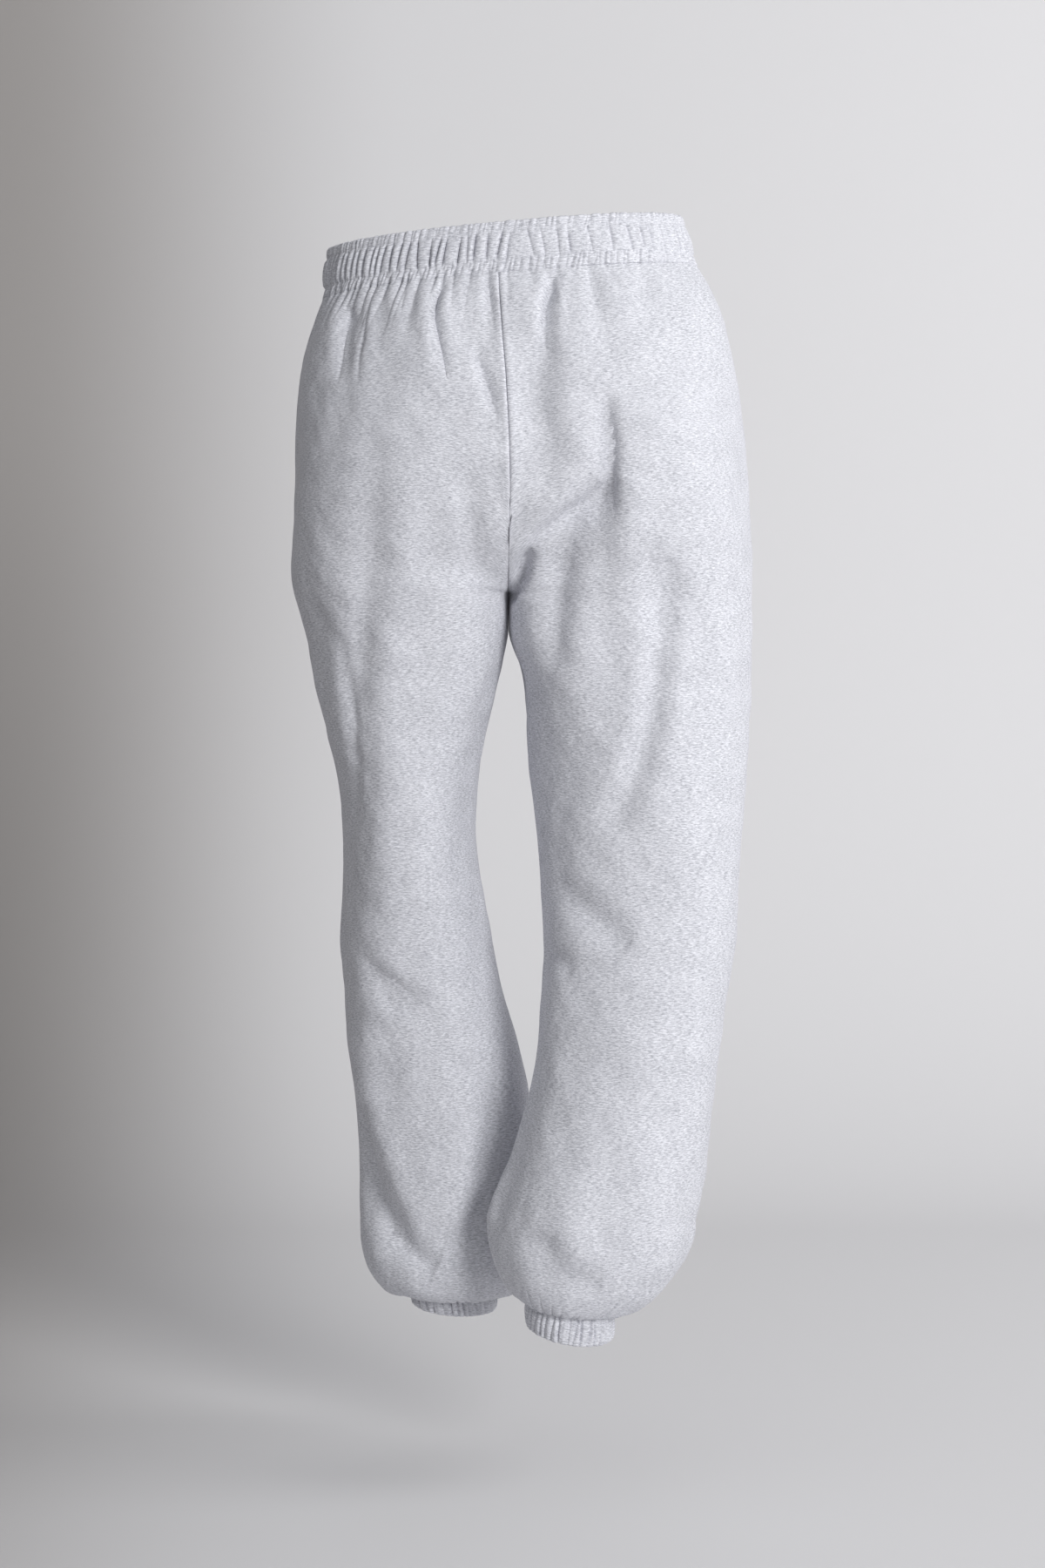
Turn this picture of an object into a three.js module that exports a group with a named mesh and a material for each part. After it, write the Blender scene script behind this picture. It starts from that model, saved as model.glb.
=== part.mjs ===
// Fleece jogger sweatpants in the hollow form they keep when worn, with the legs mid-stance.
// Millimetres, +Z up, front towards -Y. The origin is the middle of the waistband, where it is held.
// Each leg is a tube of two panels, a front and a back, sewn along the side seam and the inseam.
// Above the crotch the two tubes open into each other and meet on the centre front and centre back seams.
import * as THREE from "three";

const CLOTH = 2.0; // thickness of the brushed fleece
const SEAM_GAP = 0.3; // between two pieces at a seam
const BAND_HEIGHT = 43; // waistband casing, sewn round elastic
const BAND_WALL = 3.6; // two layers of fleece and the elastic
const CUFF_HEIGHT = 26;
const CUFF_WALL = 3.2;
const WAIST_ROLL = 0.091; // slope of the waist, higher on the wearer's right
const ROLL_ENDS = -220; // height where the slope has died away
const CROTCH = -296; // height where the two legs part
const LEGS_CLEAR = -345; // height below which the legs no longer touch
const BAND_FOOT = -BAND_HEIGHT / 2;
const LOBE = 2.2; // roundness of the sections: 2 is an ellipse
const QUARTER = Math.PI / 2;

// Triangle budget of the panels, the waistband and the cuffs
const PANEL_COLUMNS = 18;
const BAND_GATHERS = 68;
const BAND_POINTS_PER_GATHER = 4;
const CUFF_GATHERS = 28;
const CUFF_POINTS_PER_GATHER = 3;
const SECTION_STEPS = 54; // points on each quarter of a section before it is shared out

// Heights of a panel's rows where they cross the side seam, and where they reach the centre
// seams or the inseam. The rows bend because the cloth turns under between the legs.
const ROW_HEIGHTS = [
  [BAND_FOOT - SEAM_GAP, BAND_FOOT - SEAM_GAP],
  [-36, -36],
  [-54, -54],
  [-74, -74],
  [-98, -98],
  [-124, -126],
  [-150, -158],
  [-176, -190],
  [-200, -218],
  [-222, -242],
  [-243, -262],
  [-262, -277],
  [-279, -287],
  [-295, -293],
  [-311, CROTCH],
  [-327, -302],
  [-345, -318],
  [-368, -346],
  [-398, -384],
  [-440, -434],
  [-490, -490],
  [-545, -545],
  [-600, -600],
];
const CROTCH_ROW = ROW_HEIGHTS.findIndex(([, inner]) => inner === CROTCH);
const SHIN_ROWS = 5; // even rows from the last of those heights to the hem
const HEM_ROWS = 5;
const ROW_BEND = 2.5; // how late in its course from the side a row bends

// Columns are shared out evenly along the cloth, but around the crotch evenly by turn, and in
// between a mix of the two: heights where each begins and ends
const TURNED = { trunkEven: -90, trunkFull: -230, thighFull: -340, thighEven: -470 };

// A table of numbers with named columns, as rows that can be read by name
function table(names, rows) {
  return rows.map((row) => Object.fromEntries(names.map((name, i) => [name, row[i]])));
}

// Sections of the two halves. outer and inner are measured from the centre plane towards that side,
// mid is the section's middle from front to back, front and back its reach each way from there.
const SECTION_COLUMNS = ["z", "outer", "inner", "mid", "front", "back"];
const LEFT_SECTIONS = table(SECTION_COLUMNS, [
  [-22, 164, 0, 0, 105, 107],
  [-40, 172, 0, 1, 113, 116],
  [-60, 178, 0, 2, 119, 124],
  [-85, 183, 0, 4, 124, 131],
  [-120, 187, 0, 6, 128, 138],
  [-165, 189, 0, 8, 131, 141],
  [-210, 190, 0, 8, 131, 138],
  [-250, 192, 0, 6, 129, 130],
  [-272, 194, 0, 4, 127, 124],
  [-296, 191, 0, 3, 124, 119],
  [-316, 185, 0, 1, 121, 115],
  [-338, 179, 1.5, -1, 119, 112],
  [-370, 174, 9, -4, 118, 110],
  [-428, 161, 22, -8, 114, 106],
  [-467, 153, 28, -13, 110, 102],
  [-514, 149, 30, -19, 104, 98],
  [-560, 150, 25, -25, 97, 93],
  [-608, 152, 16, -30, 90, 88],
  [-655, 149, 7, -34, 84, 84],
  [-701, 147, -6, -37, 80, 81],
  [-748, 141, -18, -40, 78, 80],
  [-800, 137, -22, -43, 78, 81],
  [-850, 136, -21, -45, 80, 84],
  [-875, 135, -20, -46, 80, 84],
]);
const RIGHT_SECTIONS = table(SECTION_COLUMNS, [
  [-22, 167, 0, 0, 105, 107],
  [-40, 178, 0, 1, 113, 116],
  [-60, 188, 0, 2, 119, 124],
  [-85, 196, 0, 4, 124, 131],
  [-120, 204, 0, 6, 128, 138],
  [-165, 209, 0, 8, 131, 141],
  [-210, 212, 0, 8, 131, 138],
  [-250, 215, 0, 6, 129, 130],
  [-272, 217, 0, 4, 127, 124],
  [-296, 217, 0, 3, 124, 119],
  [-316, 217, 0, 4, 121, 116],
  [-338, 216, 2, 6, 117, 114],
  [-370, 214, 13, 9, 111, 109],
  [-428, 212, 17, 16, 103, 101],
  [-467, 210, 20, 22, 98, 96],
  [-514, 207, 26, 28, 92, 91],
  [-560, 204, 29, 34, 86, 85],
  [-608, 200, 31, 41, 81, 80],
  [-655, 192, 28, 47, 78, 77],
  [-701, 186, 25, 53, 76, 76],
  [-748, 180, 16, 58, 76, 76],
  [-800, 172, 0, 65, 77, 79],
  [-825, 168, -12, 69, 78, 81],
  [-846, 163, -18, 71, 79, 82],
]);

// How the trunk is shaped: where the widest depth lies between the centre seam and the side,
// where the centre seams run, and how far the side seam is turned back from the side of the silhouette
const TRUNK = table(["z", "lobe", "seamBack", "seamFront", "sideTurn"], [
  [-22, 0.06, 8, -6, 18],
  [-60, 0.14, 6, -5, 15],
  [-120, 0.27, 1, -3, 10],
  [-200, 0.38, -2, -1, 4],
  [-296, 0.5, 0, 0, 0],
  [-900, 0.5, 0, 0, 0],
]);
const PINCH_BACK = 12; // how late the centre back seam dives to the crotch
const PINCH_FRONT = 10;
// Out from the centre seam the dive to the crotch ends gently, so that no crease runs across the thigh
const DIVE = { easing: 4, lateness: 12 };
// The thighs press on each other under the crotch, which makes their inner sides fuller than round
const FULL = { more: 1.2, trunkRound: -200, trunkFull: -275, thighFull: -345, thighRound: -450 };

// The cuffs: centre and half widths of the ring where the leg is sewn on, and its slopes.
// The hems: where the leg starts to turn in, how many degrees it rolls round to the cuff on its
// inner and outer sides, and how much flatter than round it is on its outer side.
const CUFFS = {
  left: { x: 50, y: -45, z: -922, halfWidth: 38, halfDepth: 42, roll: 0.07, pitch: -0.05 },
  right: { x: -54, y: 80, z: -918, halfWidth: 38, halfDepth: 42, roll: 0.15, pitch: -0.12 },
};
const HEMS = {
  left: { start: -880, innerTurn: 125, outerTurn: 125, flatness: 0 },
  right: { start: -846, innerTurn: 118, outerTurn: 98, flatness: 0.4 },
};
const HEM_STANDS_OFF = 1; // where the rolled cloth reaches the cuff's upper edge
const HEM_LAPS = 1.6; // how far it then runs in over that edge

// The largest folds, each a soft trough along a curve from start through mid to end, in x and z.
// A fold with held 1 hangs from the seam at its start and dies out; the others die out at both ends.
// A negative depth is a ridge.
const FOLD_COLUMNS = ["x0", "z0", "x1", "z1", "x2", "z2", "width", "depth", "held"];
const BACK_FOLDS = table(FOLD_COLUMNS, [
  [139, -40, 148, -90, 143, -150, 9, 7, 1],
  [124, -40, 137, -70, 140, -100, 6, 5, 1],
  [106, -36, 111, -66, 113, -100, 7, 3, 1],
  [83, -34, 84, -58, 84, -80, 6, 3, 1],
  [55, -30, 70, -66, 51, -116, 5, 6, 1],
  [17, -26, 16, -52, 12, -80, 5, 4, 1],
  [28, -88, 19, -112, 10, -150, 6, 3, 0],
  [-40, -18, -31, -60, -33, -112, 6, 6, 1],
  [-30, -80, -42, -140, -43, -215, 15, 5, 0],
  [-72, -18, -75, -56, -82, -95, 8, 3, 1],
  [-116, -14, -119, -50, -122, -84, 9, 2.5, 1],
  [-6, -296, -40, -240, -82, -232, 14, 8, 0],
  [-62, -240, -92, -215, -91, -150, 13, 7, 0],
  [-147, -300, -140, -400, -103, -510, 17, 6, 0],
  [-38, -548, -68, -572, -104, -602, 13, 6, 0],
  [-27, -606, -40, -612, -58, -624, 8, 4, 0],
  [-4, -844, -48, -898, -86, -885, 13, 8, 0],
  [128, -812, 102, -891, 75, -898, 12, 8, 0],
  [20, -706, -5, -805, 62, -893, 16, 6, 0],
  [138, -670, 132, -745, 127, -812, 10, 4, 0],
  [128, -628, 98, -648, 60, -668, 12, 5, 0],
  [98, -176, 119, -380, 120, -583, 13, 5, 0],
  [80, -200, 76, -320, 85, -450, 24, -4, 0],
]);
const FRONT_FOLDS = table(FOLD_COLUMNS, [
  [142, -40, 148, -80, 145, -120, 8, 5, 1],
  [98, -36, 100, -70, 96, -110, 7, 4, 1],
  [52, -32, 50, -56, 52, -84, 6, 4, 1],
  [16, -28, 14, -50, 15, -70, 5, 3, 1],
  [-22, -24, -24, -52, -22, -84, 6, 4, 1],
  [-66, -20, -68, -60, -74, -104, 7, 5, 1],
  [-112, -16, -118, -52, -120, -92, 8, 4, 1],
  [-150, -10, -158, -48, -160, -84, 8, 4, 1],
  [6, -292, 46, -262, 112, -228, 14, 7, 0],
  [-6, -292, -50, -258, -124, -222, 14, 7, 0],
  [20, -330, 62, -344, 118, -336, 15, 5, 0],
  [-20, -330, -70, -348, -136, -338, 15, 5, 0],
  [40, -560, 84, -576, 128, -560, 15, 5, 0],
  [-50, -580, -104, -600, -168, -584, 15, 5, 0],
  [20, -640, 66, -662, 118, -650, 12, 4, 0],
  [-50, -660, -100, -680, -160, -664, 12, 4, 0],
  [116, -806, 66, -888, -2, -850, 13, 7, 0],
  [-146, -800, -96, -896, -18, -846, 13, 7, 0],
]);

const FOLD_STEPS = 8; // places along a fold where its distance is measured
const [HELD_NARROW, HELD_SPREAD] = [0.8, 0.6]; // a held fold widens from its start to its end
const FREE_AT_BAND = 0.2; // share of a fold's depth right under the waistband
const [SIDE_SMOOTH, SIDE_FOLDED] = [0.05, 0.4]; // how far the cloth faces front or back where folds begin
const UNEVEN = 0.25; // how much the gathers differ in height
const GATHER_DRIFT = 2.4;

// A smooth curve through a table's column, by height
function column(rows, name) {
  const slope = (i) => {
    const a = rows[Math.max(i - 1, 0)];
    const b = rows[Math.min(i + 1, rows.length - 1)];
    return (b[name] - a[name]) / (b.z - a.z);
  };
  return (z) => {
    let i = 0;
    while (i < rows.length - 2 && z < rows[i + 1].z) i += 1;
    const [a, b] = [rows[i], rows[i + 1]];
    const span = b.z - a.z;
    const t = Math.min(Math.max((z - a.z) / span, 0), 1);
    const t2 = t * t;
    const t3 = t2 * t;
    return (
      a[name] * (2 * t3 - 3 * t2 + 1) +
      b[name] * (3 * t2 - 2 * t3) +
      slope(i) * span * (t3 - 2 * t2 + t) +
      slope(i + 1) * span * (t3 - t2)
    );
  };
}

const columnsOf = (rows, names) =>
  Object.fromEntries(names.map((name) => [name, column(rows, name)]));
const TRUNK_SHAPE = columnsOf(TRUNK, ["lobe", "seamBack", "seamFront", "sideTurn"]);
function halfOf(side, sign, sections) {
  const shape = columnsOf(sections, SECTION_COLUMNS.slice(1));
  return { side, sign, shape, cuff: CUFFS[side], hem: HEMS[side] };
}

const HALVES = {
  left: halfOf("left", 1, LEFT_SECTIONS),
  right: halfOf("right", -1, RIGHT_SECTIONS),
};

function smoothstep(from, to, value) {
  const t = Math.min(Math.max((value - from) / (to - from), 0), 1);
  return t * t * (3 - 2 * t);
}

// 1 around the crotch, fading to 0 up the trunk and down the thigh
function nearCrotch(z) {
  const { trunkEven, trunkFull, thighFull, thighEven } = TURNED;
  return smoothstep(trunkEven, trunkFull, z) * smoothstep(thighEven, thighFull, z);
}

// How far down from the waistband to the crotch a height lies: 0 to 1
function fallTo(z) {
  return Math.min(Math.max((BAND_FOOT - z) / (BAND_FOOT - CROTCH), 0), 1);
}

// Share of the full depth that is left at the centre seam: 1 at the waist, 0 at the crotch
function pinch(z, lateness) {
  return Math.sqrt(1 - fallTo(z) ** lateness);
}

// Power of the inner side's round: 1 is an ellipse, and less is fuller
function innerRound(z) {
  const { more, trunkRound, trunkFull, thighFull, thighRound } = FULL;
  const full = smoothstep(trunkRound, trunkFull, z) * smoothstep(thighRound, thighFull, z);
  return 2 / (2 + more * full);
}

// One quarter of a section, from the centre seam or the inseam out to the side of the leg
function quarter(inner, outer, lobeShare, mid, reach, depthAtSeam, easing = 0, power = 1) {
  const points = [];
  const lobe = inner + (outer - inner) * lobeShare;
  for (let i = 0; i < SECTION_STEPS; i += 1) {
    const turn = (QUARTER * i) / SECTION_STEPS;
    const across = 1 - Math.cos(turn) ** power;
    const share = depthAtSeam ** (1 + easing * across);
    const roundness = 1 - share * share;
    const rise = Math.sin(QUARTER * across) * (1 - roundness) + Math.sin(turn) ** power * roundness;
    const depth = share + (1 - share) * rise;
    points.push([inner + (lobe - inner) * across, mid + reach * depth]);
  }
  for (let i = 0; i <= SECTION_STEPS; i += 1) {
    const turn = (QUARTER * i) / SECTION_STEPS;
    const across = Math.sin(turn) ** (2 / LOBE);
    const depth = Math.max(Math.cos(turn), 0) ** (2 / LOBE);
    points.push([lobe + (outer - lobe) * across, mid + reach * depth]);
  }
  return points;
}

// Half of the garment at one height, from its inner front edge round the side to its inner back edge
function halfSection(half, z) {
  const { sign, shape } = half;
  const above = z > CROTCH;
  const innerFront = above ? sign * TRUNK_SHAPE.seamFront(z) : shape.inner(z);
  const innerBack = above ? sign * TRUNK_SHAPE.seamBack(z) : shape.inner(z);
  const [outer, mid, lobe] = [shape.outer(z), shape.mid(z), TRUNK_SHAPE.lobe(z)];
  const easing = DIVE.easing * fallTo(z) ** DIVE.lateness;
  const power = innerRound(z);
  const frontDepth = pinch(z, PINCH_FRONT);
  const backDepth = pinch(z, PINCH_BACK);
  const front = quarter(innerFront, outer, lobe, mid, -shape.front(z), frontDepth, easing, power);
  const back = quarter(innerBack, outer, lobe, mid, shape.back(z), backDepth, easing, power);
  const points = [...front, ...back.reverse().slice(1)].map(([x, y]) => [sign * x, y]);
  return { points, side: front.length - 1 };
}

// Distance run along a line of points, at each of them
function runs(points) {
  const run = [0];
  for (let i = 1; i < points.length; i += 1) {
    const [a, b] = [points[i - 1], points[i]];
    run.push(run[i - 1] + Math.hypot(b[0] - a[0], b[1] - a[1]));
  }
  return run;
}

// The point a given distance along a line of points
function along(points, run, distance) {
  let i = 1;
  while (i < points.length - 1 && run[i] < distance) i += 1;
  const t = (distance - run[i - 1]) / (run[i] - run[i - 1]);
  return points[i - 1].map((a, k) => a + (points[i][k] - a) * t);
}

// A panel's point at a height, a share of the way from its front edge to its back edge. The points are
// shared out evenly along the cloth, but near the crotch evenly by the turn of the section instead,
// so that the columns run straight down where the inner edge dives.
function panelPoint(half, isFront, z, share) {
  const { points, side } = halfSection(half, z);
  const run = runs(points);
  const whole = run[run.length - 1];
  const seam = run[side] + half.sign * TRUNK_SHAPE.sideTurn(z);
  const [from, to] = isFront ? [0, seam] : [seam, whole];
  const [first, start, end] = isFront ? [0, 0, run[side]] : [side, run[side], whole];
  const byTurn = (run[first + Math.round(share * side)] - start) / (end - start);
  const even = share + (byTurn - share) * nearCrotch(z);
  const distance = from + SEAM_GAP / 2 + (to - from - SEAM_GAP) * even;
  const [x, y] = along(points, run, distance);
  return { x, y, z, round: distance / whole };
}

// One row of a panel, between its height at the side seam and its height at the inner edge
function panelRow(half, isFront, [sideHeight, innerHeight]) {
  return Array.from({ length: PANEL_COLUMNS + 1 }, (_, i) => {
    const share = i / PANEL_COLUMNS;
    const bend = (isFront ? 1 - share : share) ** ROW_BEND;
    return panelPoint(half, isFront, sideHeight + (innerHeight - sideHeight) * bend, share);
  });
}

// Slope of the whole waist, which dies away over the hips
function rolled(point) {
  const held = smoothstep(ROLL_ENDS, BAND_FOOT, point.z);
  return { ...point, z: point.z - WAIST_ROLL * point.x * held };
}

// Keeps the two halves off each other on the centre plane
function partedAtCentre(half, point) {
  if (point.z < LEGS_CLEAR) return point;
  const z = Math.max(point.z, CROTCH);
  const seam = point.y > half.shape.mid(z) ? TRUNK_SHAPE.seamBack(z) : TRUNK_SHAPE.seamFront(z);
  const reach = half.sign * (point.x - seam);
  return reach > SEAM_GAP / 2 ? point : { ...point, x: seam + (half.sign * SEAM_GAP) / 2 };
}

// The point of a cuff's upper edge that a share of the way round the leg is sewn to
function cuffPoint(half, share, grow = 0) {
  const { x, y, z, halfWidth, halfDepth, roll, pitch } = half.cuff;
  const turn = 2 * Math.PI * share;
  const dx = -half.sign * (halfWidth + grow) * Math.cos(turn);
  const dy = -(halfDepth + grow) * Math.sin(turn);
  return { x: x + dx, y: y + dy, z: z + roll * dx + pitch * dy };
}

// The place just over a cuff's upper edge where a panel's point is sewn on. The seams between
// front and back are kept open there, where the panels are drawn in to half their width.
function sewnPoint(half, isFront, share, grow) {
  const p = cuffPoint(half, share, grow);
  return { x: p.x, y: p.y + (isFront ? -1 : 1) * (SEAM_GAP / 3), z: p.z + SEAM_GAP };
}

// A row where the leg rolls in to the cuff, a share of the way round the roll
function hemRow(half, isFront, start, share) {
  const { innerTurn, outerTurn, flatness } = half.hem;
  return start.map((p) => {
    const outward = (1 - Math.cos(2 * Math.PI * p.round)) / 2;
    const whole = ((innerTurn + (outerTurn - innerTurn) * outward) * Math.PI) / 180;
    const turn = whole * share;
    const round = Math.max((Math.cos(turn) - Math.cos(whole)) / (1 - Math.cos(whole)), 0);
    const full = round ** (1 + flatness * outward);
    const fall = Math.sin(turn) / Math.sin(whole);
    const c = sewnPoint(half, isFront, p.round, HEM_STANDS_OFF);
    return { x: c.x + (p.x - c.x) * full, y: c.y + (p.y - c.y) * full, z: p.z + (c.z - p.z) * fall };
  });
}

// All the rows of a panel, from the waistband to the cuff
function panelGrid(half, isFront) {
  const grid = ROW_HEIGHTS.map((heights) => panelRow(half, isFront, heights));
  const knee = ROW_HEIGHTS.at(-1)[0];
  for (let i = 1; i <= SHIN_ROWS; i += 1) {
    const z = knee + ((half.hem.start - knee) * i) / SHIN_ROWS;
    grid.push(panelRow(half, isFront, [z, z]));
  }
  const start = grid[grid.length - 1];
  for (let i = 1; i <= HEM_ROWS; i += 1) grid.push(hemRow(half, isFront, start, i / HEM_ROWS));
  grid.push(start.map((p) => sewnPoint(half, isFront, p.round, -HEM_LAPS)));
  return grid.map((row) => row.map((p) => rolled(partedAtCentre(half, p))));
}

// Outward normals of a grid of points. Rows run down the leg, columns from front to back round the side.
function gridNormals(grid, facing) {
  return grid.map((row, i) =>
    row.map((_, j) => {
      const above = grid[Math.max(i - 1, 0)][j];
      const below = grid[Math.min(i + 1, grid.length - 1)][j];
      const before = row[Math.max(j - 1, 0)];
      const after = row[Math.min(j + 1, row.length - 1)];
      const down = new THREE.Vector3(below.x - above.x, below.y - above.y, below.z - above.z);
      const round = new THREE.Vector3(after.x - before.x, after.y - before.y, after.z - before.z);
      const normal = down.cross(round).multiplyScalar(facing);
      if (i === 0) normal.z = 0; // level with the waistband's lower edge
      return normal.normalize();
    }),
  );
}

// Normals of all four panels, made equal on both sides of every seam so that the walls stay parallel there
function panelNormals(grids) {
  const normals = grids.map(({ grid, half }) => gridNormals(grid, half.sign));
  const [frontLeft, backLeft, frontRight, backRight] = normals;
  const share = (...ends) => {
    const mean = new THREE.Vector3();
    for (const end of ends) mean.add(end);
    mean.normalize();
    for (const end of ends) end.copy(mean);
  };
  for (let i = 0; i < frontLeft.length; i += 1) {
    share(frontLeft[i].at(-1), backLeft[i][0]);
    share(frontRight[i].at(-1), backRight[i][0]);
    const [fronts, backs] = [[frontLeft[i][0], frontRight[i][0]], [backLeft[i].at(-1), backRight[i].at(-1)]];
    if (i < CROTCH_ROW) {
      share(...fronts);
      share(...backs);
    } else if (i === CROTCH_ROW) {
      share(...fronts, ...backs);
    } else {
      share(fronts[0], backs[0]);
      share(fronts[1], backs[1]);
    }
  }
  return normals;
}

// How deep one fold presses a point in. Its trough has a low ridge on each side.
function foldDepth(fold, x, z) {
  const { x0, z0, x1, z1, x2, z2, width, depth, held } = fold;
  let nearest = Infinity;
  let place = 0;
  for (let i = 0; i <= FOLD_STEPS; i += 1) {
    const t = i / FOLD_STEPS;
    const [a, b, c] = [(1 - t) ** 2, 2 * t * (1 - t), t * t];
    const gap = Math.hypot(a * x0 + b * x1 + c * x2 - x, a * z0 + b * z1 + c * z2 - z);
    if (gap < nearest) [nearest, place] = [gap, t];
  }
  const strength = held ? 1 - place ** 2 : Math.sqrt(Math.sin(Math.PI * place));
  const spread = held ? width * (HELD_NARROW + HELD_SPREAD * place) : width;
  const away = (nearest / spread) ** 2 / 2;
  return depth * strength * (1 - away) * Math.exp(-away);
}

// Presses the folds into a grid of points, less in the rows next to the waistband and the cuff
function folded({ half, grid }, normals) {
  const free = (i) => Math.min(FREE_AT_BAND + i / 2, Math.max(grid.length - 2 - i, 0) / 3, 1);
  return grid.map((row, i) =>
    row.map((p, j) => {
      const n = normals[i][j];
      const folds = n.y > 0 ? BACK_FOLDS : FRONT_FOLDS;
      const weight = free(i) * smoothstep(SIDE_SMOOTH, SIDE_FOLDED, Math.abs(n.y));
      const press = folds.reduce((sum, fold) => sum + weight * foldDepth(fold, p.x, p.z), 0);
      return partedAtCentre(half, moved(p, n, -press));
    }),
  );
}

// A point moved along a direction
function moved(p, n, by) {
  return { x: p.x + n.x * by, y: p.y + n.y * by, z: p.z + n.z * by };
}

// A closed wall between an outer and an inner grid of points of the same size
function wall(outer, inner) {
  const rows = outer.length;
  const columns = outer[0].length;
  const positions = [...outer.flat(), ...inner.flat()].flatMap((p) => [p.x, p.y, p.z]);
  const index = [];
  const at = (layer, i, j) => (layer * rows + i) * columns + j;
  const quad = (a, b, c, d) => index.push(a, b, c, a, c, d);
  for (let j = 0; j < columns - 1; j += 1) {
    for (let i = 0; i < rows - 1; i += 1) {
      quad(at(0, i, j), at(0, i + 1, j), at(0, i + 1, j + 1), at(0, i, j + 1));
      quad(at(1, i, j), at(1, i, j + 1), at(1, i + 1, j + 1), at(1, i + 1, j));
    }
    quad(at(1, 0, j), at(0, 0, j), at(0, 0, j + 1), at(1, 0, j + 1));
    quad(at(0, rows - 1, j), at(1, rows - 1, j), at(1, rows - 1, j + 1), at(0, rows - 1, j + 1));
  }
  for (let i = 0; i < rows - 1; i += 1) {
    const j = columns - 1;
    quad(at(0, i, 0), at(1, i, 0), at(1, i + 1, 0), at(0, i + 1, 0));
    quad(at(1, i, j), at(0, i, j), at(0, i + 1, j), at(1, i + 1, j));
  }
  return { positions, index };
}

// A closed wall through rings of points that lead round its cross-section and back to the first ring
function tube(rings) {
  const columns = rings[0].length;
  const positions = rings.flat().flatMap((p) => [p.x, p.y, p.z]);
  const index = [];
  rings.forEach((_, i) => {
    const next = (i + 1) % rings.length;
    for (let j = 0; j < columns; j += 1) {
      const k = (j + 1) % columns;
      const [a, b] = [i * columns + j, next * columns + j];
      const [c, d] = [next * columns + k, i * columns + k];
      index.push(a, b, c, a, c, d);
    }
  });
  return { positions, index };
}

// Turns a wall's faces outwards if its grid ran the other way round
function geometryOf({ positions, index }) {
  const corner = (i) => new THREE.Vector3().fromArray(positions, 3 * index[i]);
  let volume = 0;
  for (let i = 0; i < index.length; i += 3)
    volume += corner(i).dot(corner(i + 1).cross(corner(i + 2)));
  if (volume < 0)
    for (let i = 0; i < index.length; i += 3) [index[i + 1], index[i + 2]] = [index[i + 2], index[i + 1]];
  const geometry = new THREE.BufferGeometry();
  geometry.setAttribute("position", new THREE.Float32BufferAttribute(positions, 3));
  geometry.setIndex(index);
  geometry.computeVertexNormals();
  return geometry;
}

// The four panels: the front and back of each half, in the order the seams are shared in
function panels() {
  const cut = Object.values(HALVES).flatMap((half) => [
    { name: `front_${half.side}`, half, grid: panelGrid(half, true) },
    { name: `back_${half.side}`, half, grid: panelGrid(half, false) },
  ]);
  const flatNormals = panelNormals(cut);
  const outer = cut.map((panel, k) => ({ ...panel, grid: folded(panel, flatNormals[k]) }));
  const normals = panelNormals(outer);
  return outer.map(({ name, grid }, k) => {
    const inner = grid.map((row, i) => row.map((p, j) => moved(p, normals[k][i][j], -CLOTH)));
    return { name, geometry: geometryOf(wall(grid, inner)) };
  });
}

// Share of a gather's height at a place round a ring: uneven, so that no two gathers are alike
function gather(place, gathers) {
  const number = Math.floor(place * gathers);
  const strength = 1 - UNEVEN + UNEVEN * Math.sin(GATHER_DRIFT * number + Math.sin(number));
  return strength * Math.cos(2 * Math.PI * place * gathers);
}

// Rows of a casing from the foot up, outside and then back down inside:
// height, how far its ruffle stands out, and how far the row stands out from the sewn edge
const CASING_COLUMNS = ["up", "ruffle", "out"];
const BAND_ROWS = table(CASING_COLUMNS, [
  [0, 0.6, 0],
  [9, 0.5, 0.4],
  [21.5, 1.7, 1.6],
  [34, 0.5, 0.4],
  [BAND_HEIGHT, 1.1, 0],
  [BAND_HEIGHT, 0, -BAND_WALL],
  [0, 0, -BAND_WALL],
]);
const BAND_TOP = { left: 161, right: 155, front: 101, back: 103 };
const CUFF_ROWS = table(CASING_COLUMNS, [
  [0, 0.9, 0],
  [13, 1.3, 1.2],
  [CUFF_HEIGHT - 3, 0.4, 0.3],
  [CUFF_HEIGHT, 0, 0],
  [CUFF_HEIGHT, 0, -CUFF_WALL],
  [0, 0, -CUFF_WALL],
]);

// The closed line of the waistband at a height above its foot
function bandSection(up) {
  const mix = (a, b) => a + ((b - a) * up) / BAND_HEIGHT;
  const z = LEFT_SECTIONS[0].z;
  const lobe = TRUNK_SHAPE.lobe(z);
  const lines = Object.entries(HALVES).map(([name, { sign, shape }]) => {
    const outer = mix(shape.outer(z), BAND_TOP[name]);
    const front = quarter(0, outer, lobe, 0, -mix(shape.front(z), BAND_TOP.front), 1);
    const back = quarter(0, outer, lobe, 0, mix(shape.back(z), BAND_TOP.back), 1);
    return [...front, ...back.reverse().slice(1)].map(([x, y]) => [sign * x, y]);
  });
  return [...lines[0], ...lines[1].reverse().slice(1)];
}

// Points of a ring with their outward direction, shared out evenly round a closed line
function ringPoints(line, count) {
  const run = runs(line);
  const whole = run[run.length - 1];
  const points = Array.from({ length: count }, (_, i) => along(line, run, (whole * i) / count));
  return points.map(([x, y], i) => {
    const before = points[(i + count - 1) % count];
    const after = points[(i + 1) % count];
    const [dx, dy] = [after[0] - before[0], after[1] - before[1]];
    const length = Math.hypot(dx, dy);
    return { x, y, nx: dy / length, ny: -dx / length, place: i / count };
  });
}

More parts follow.
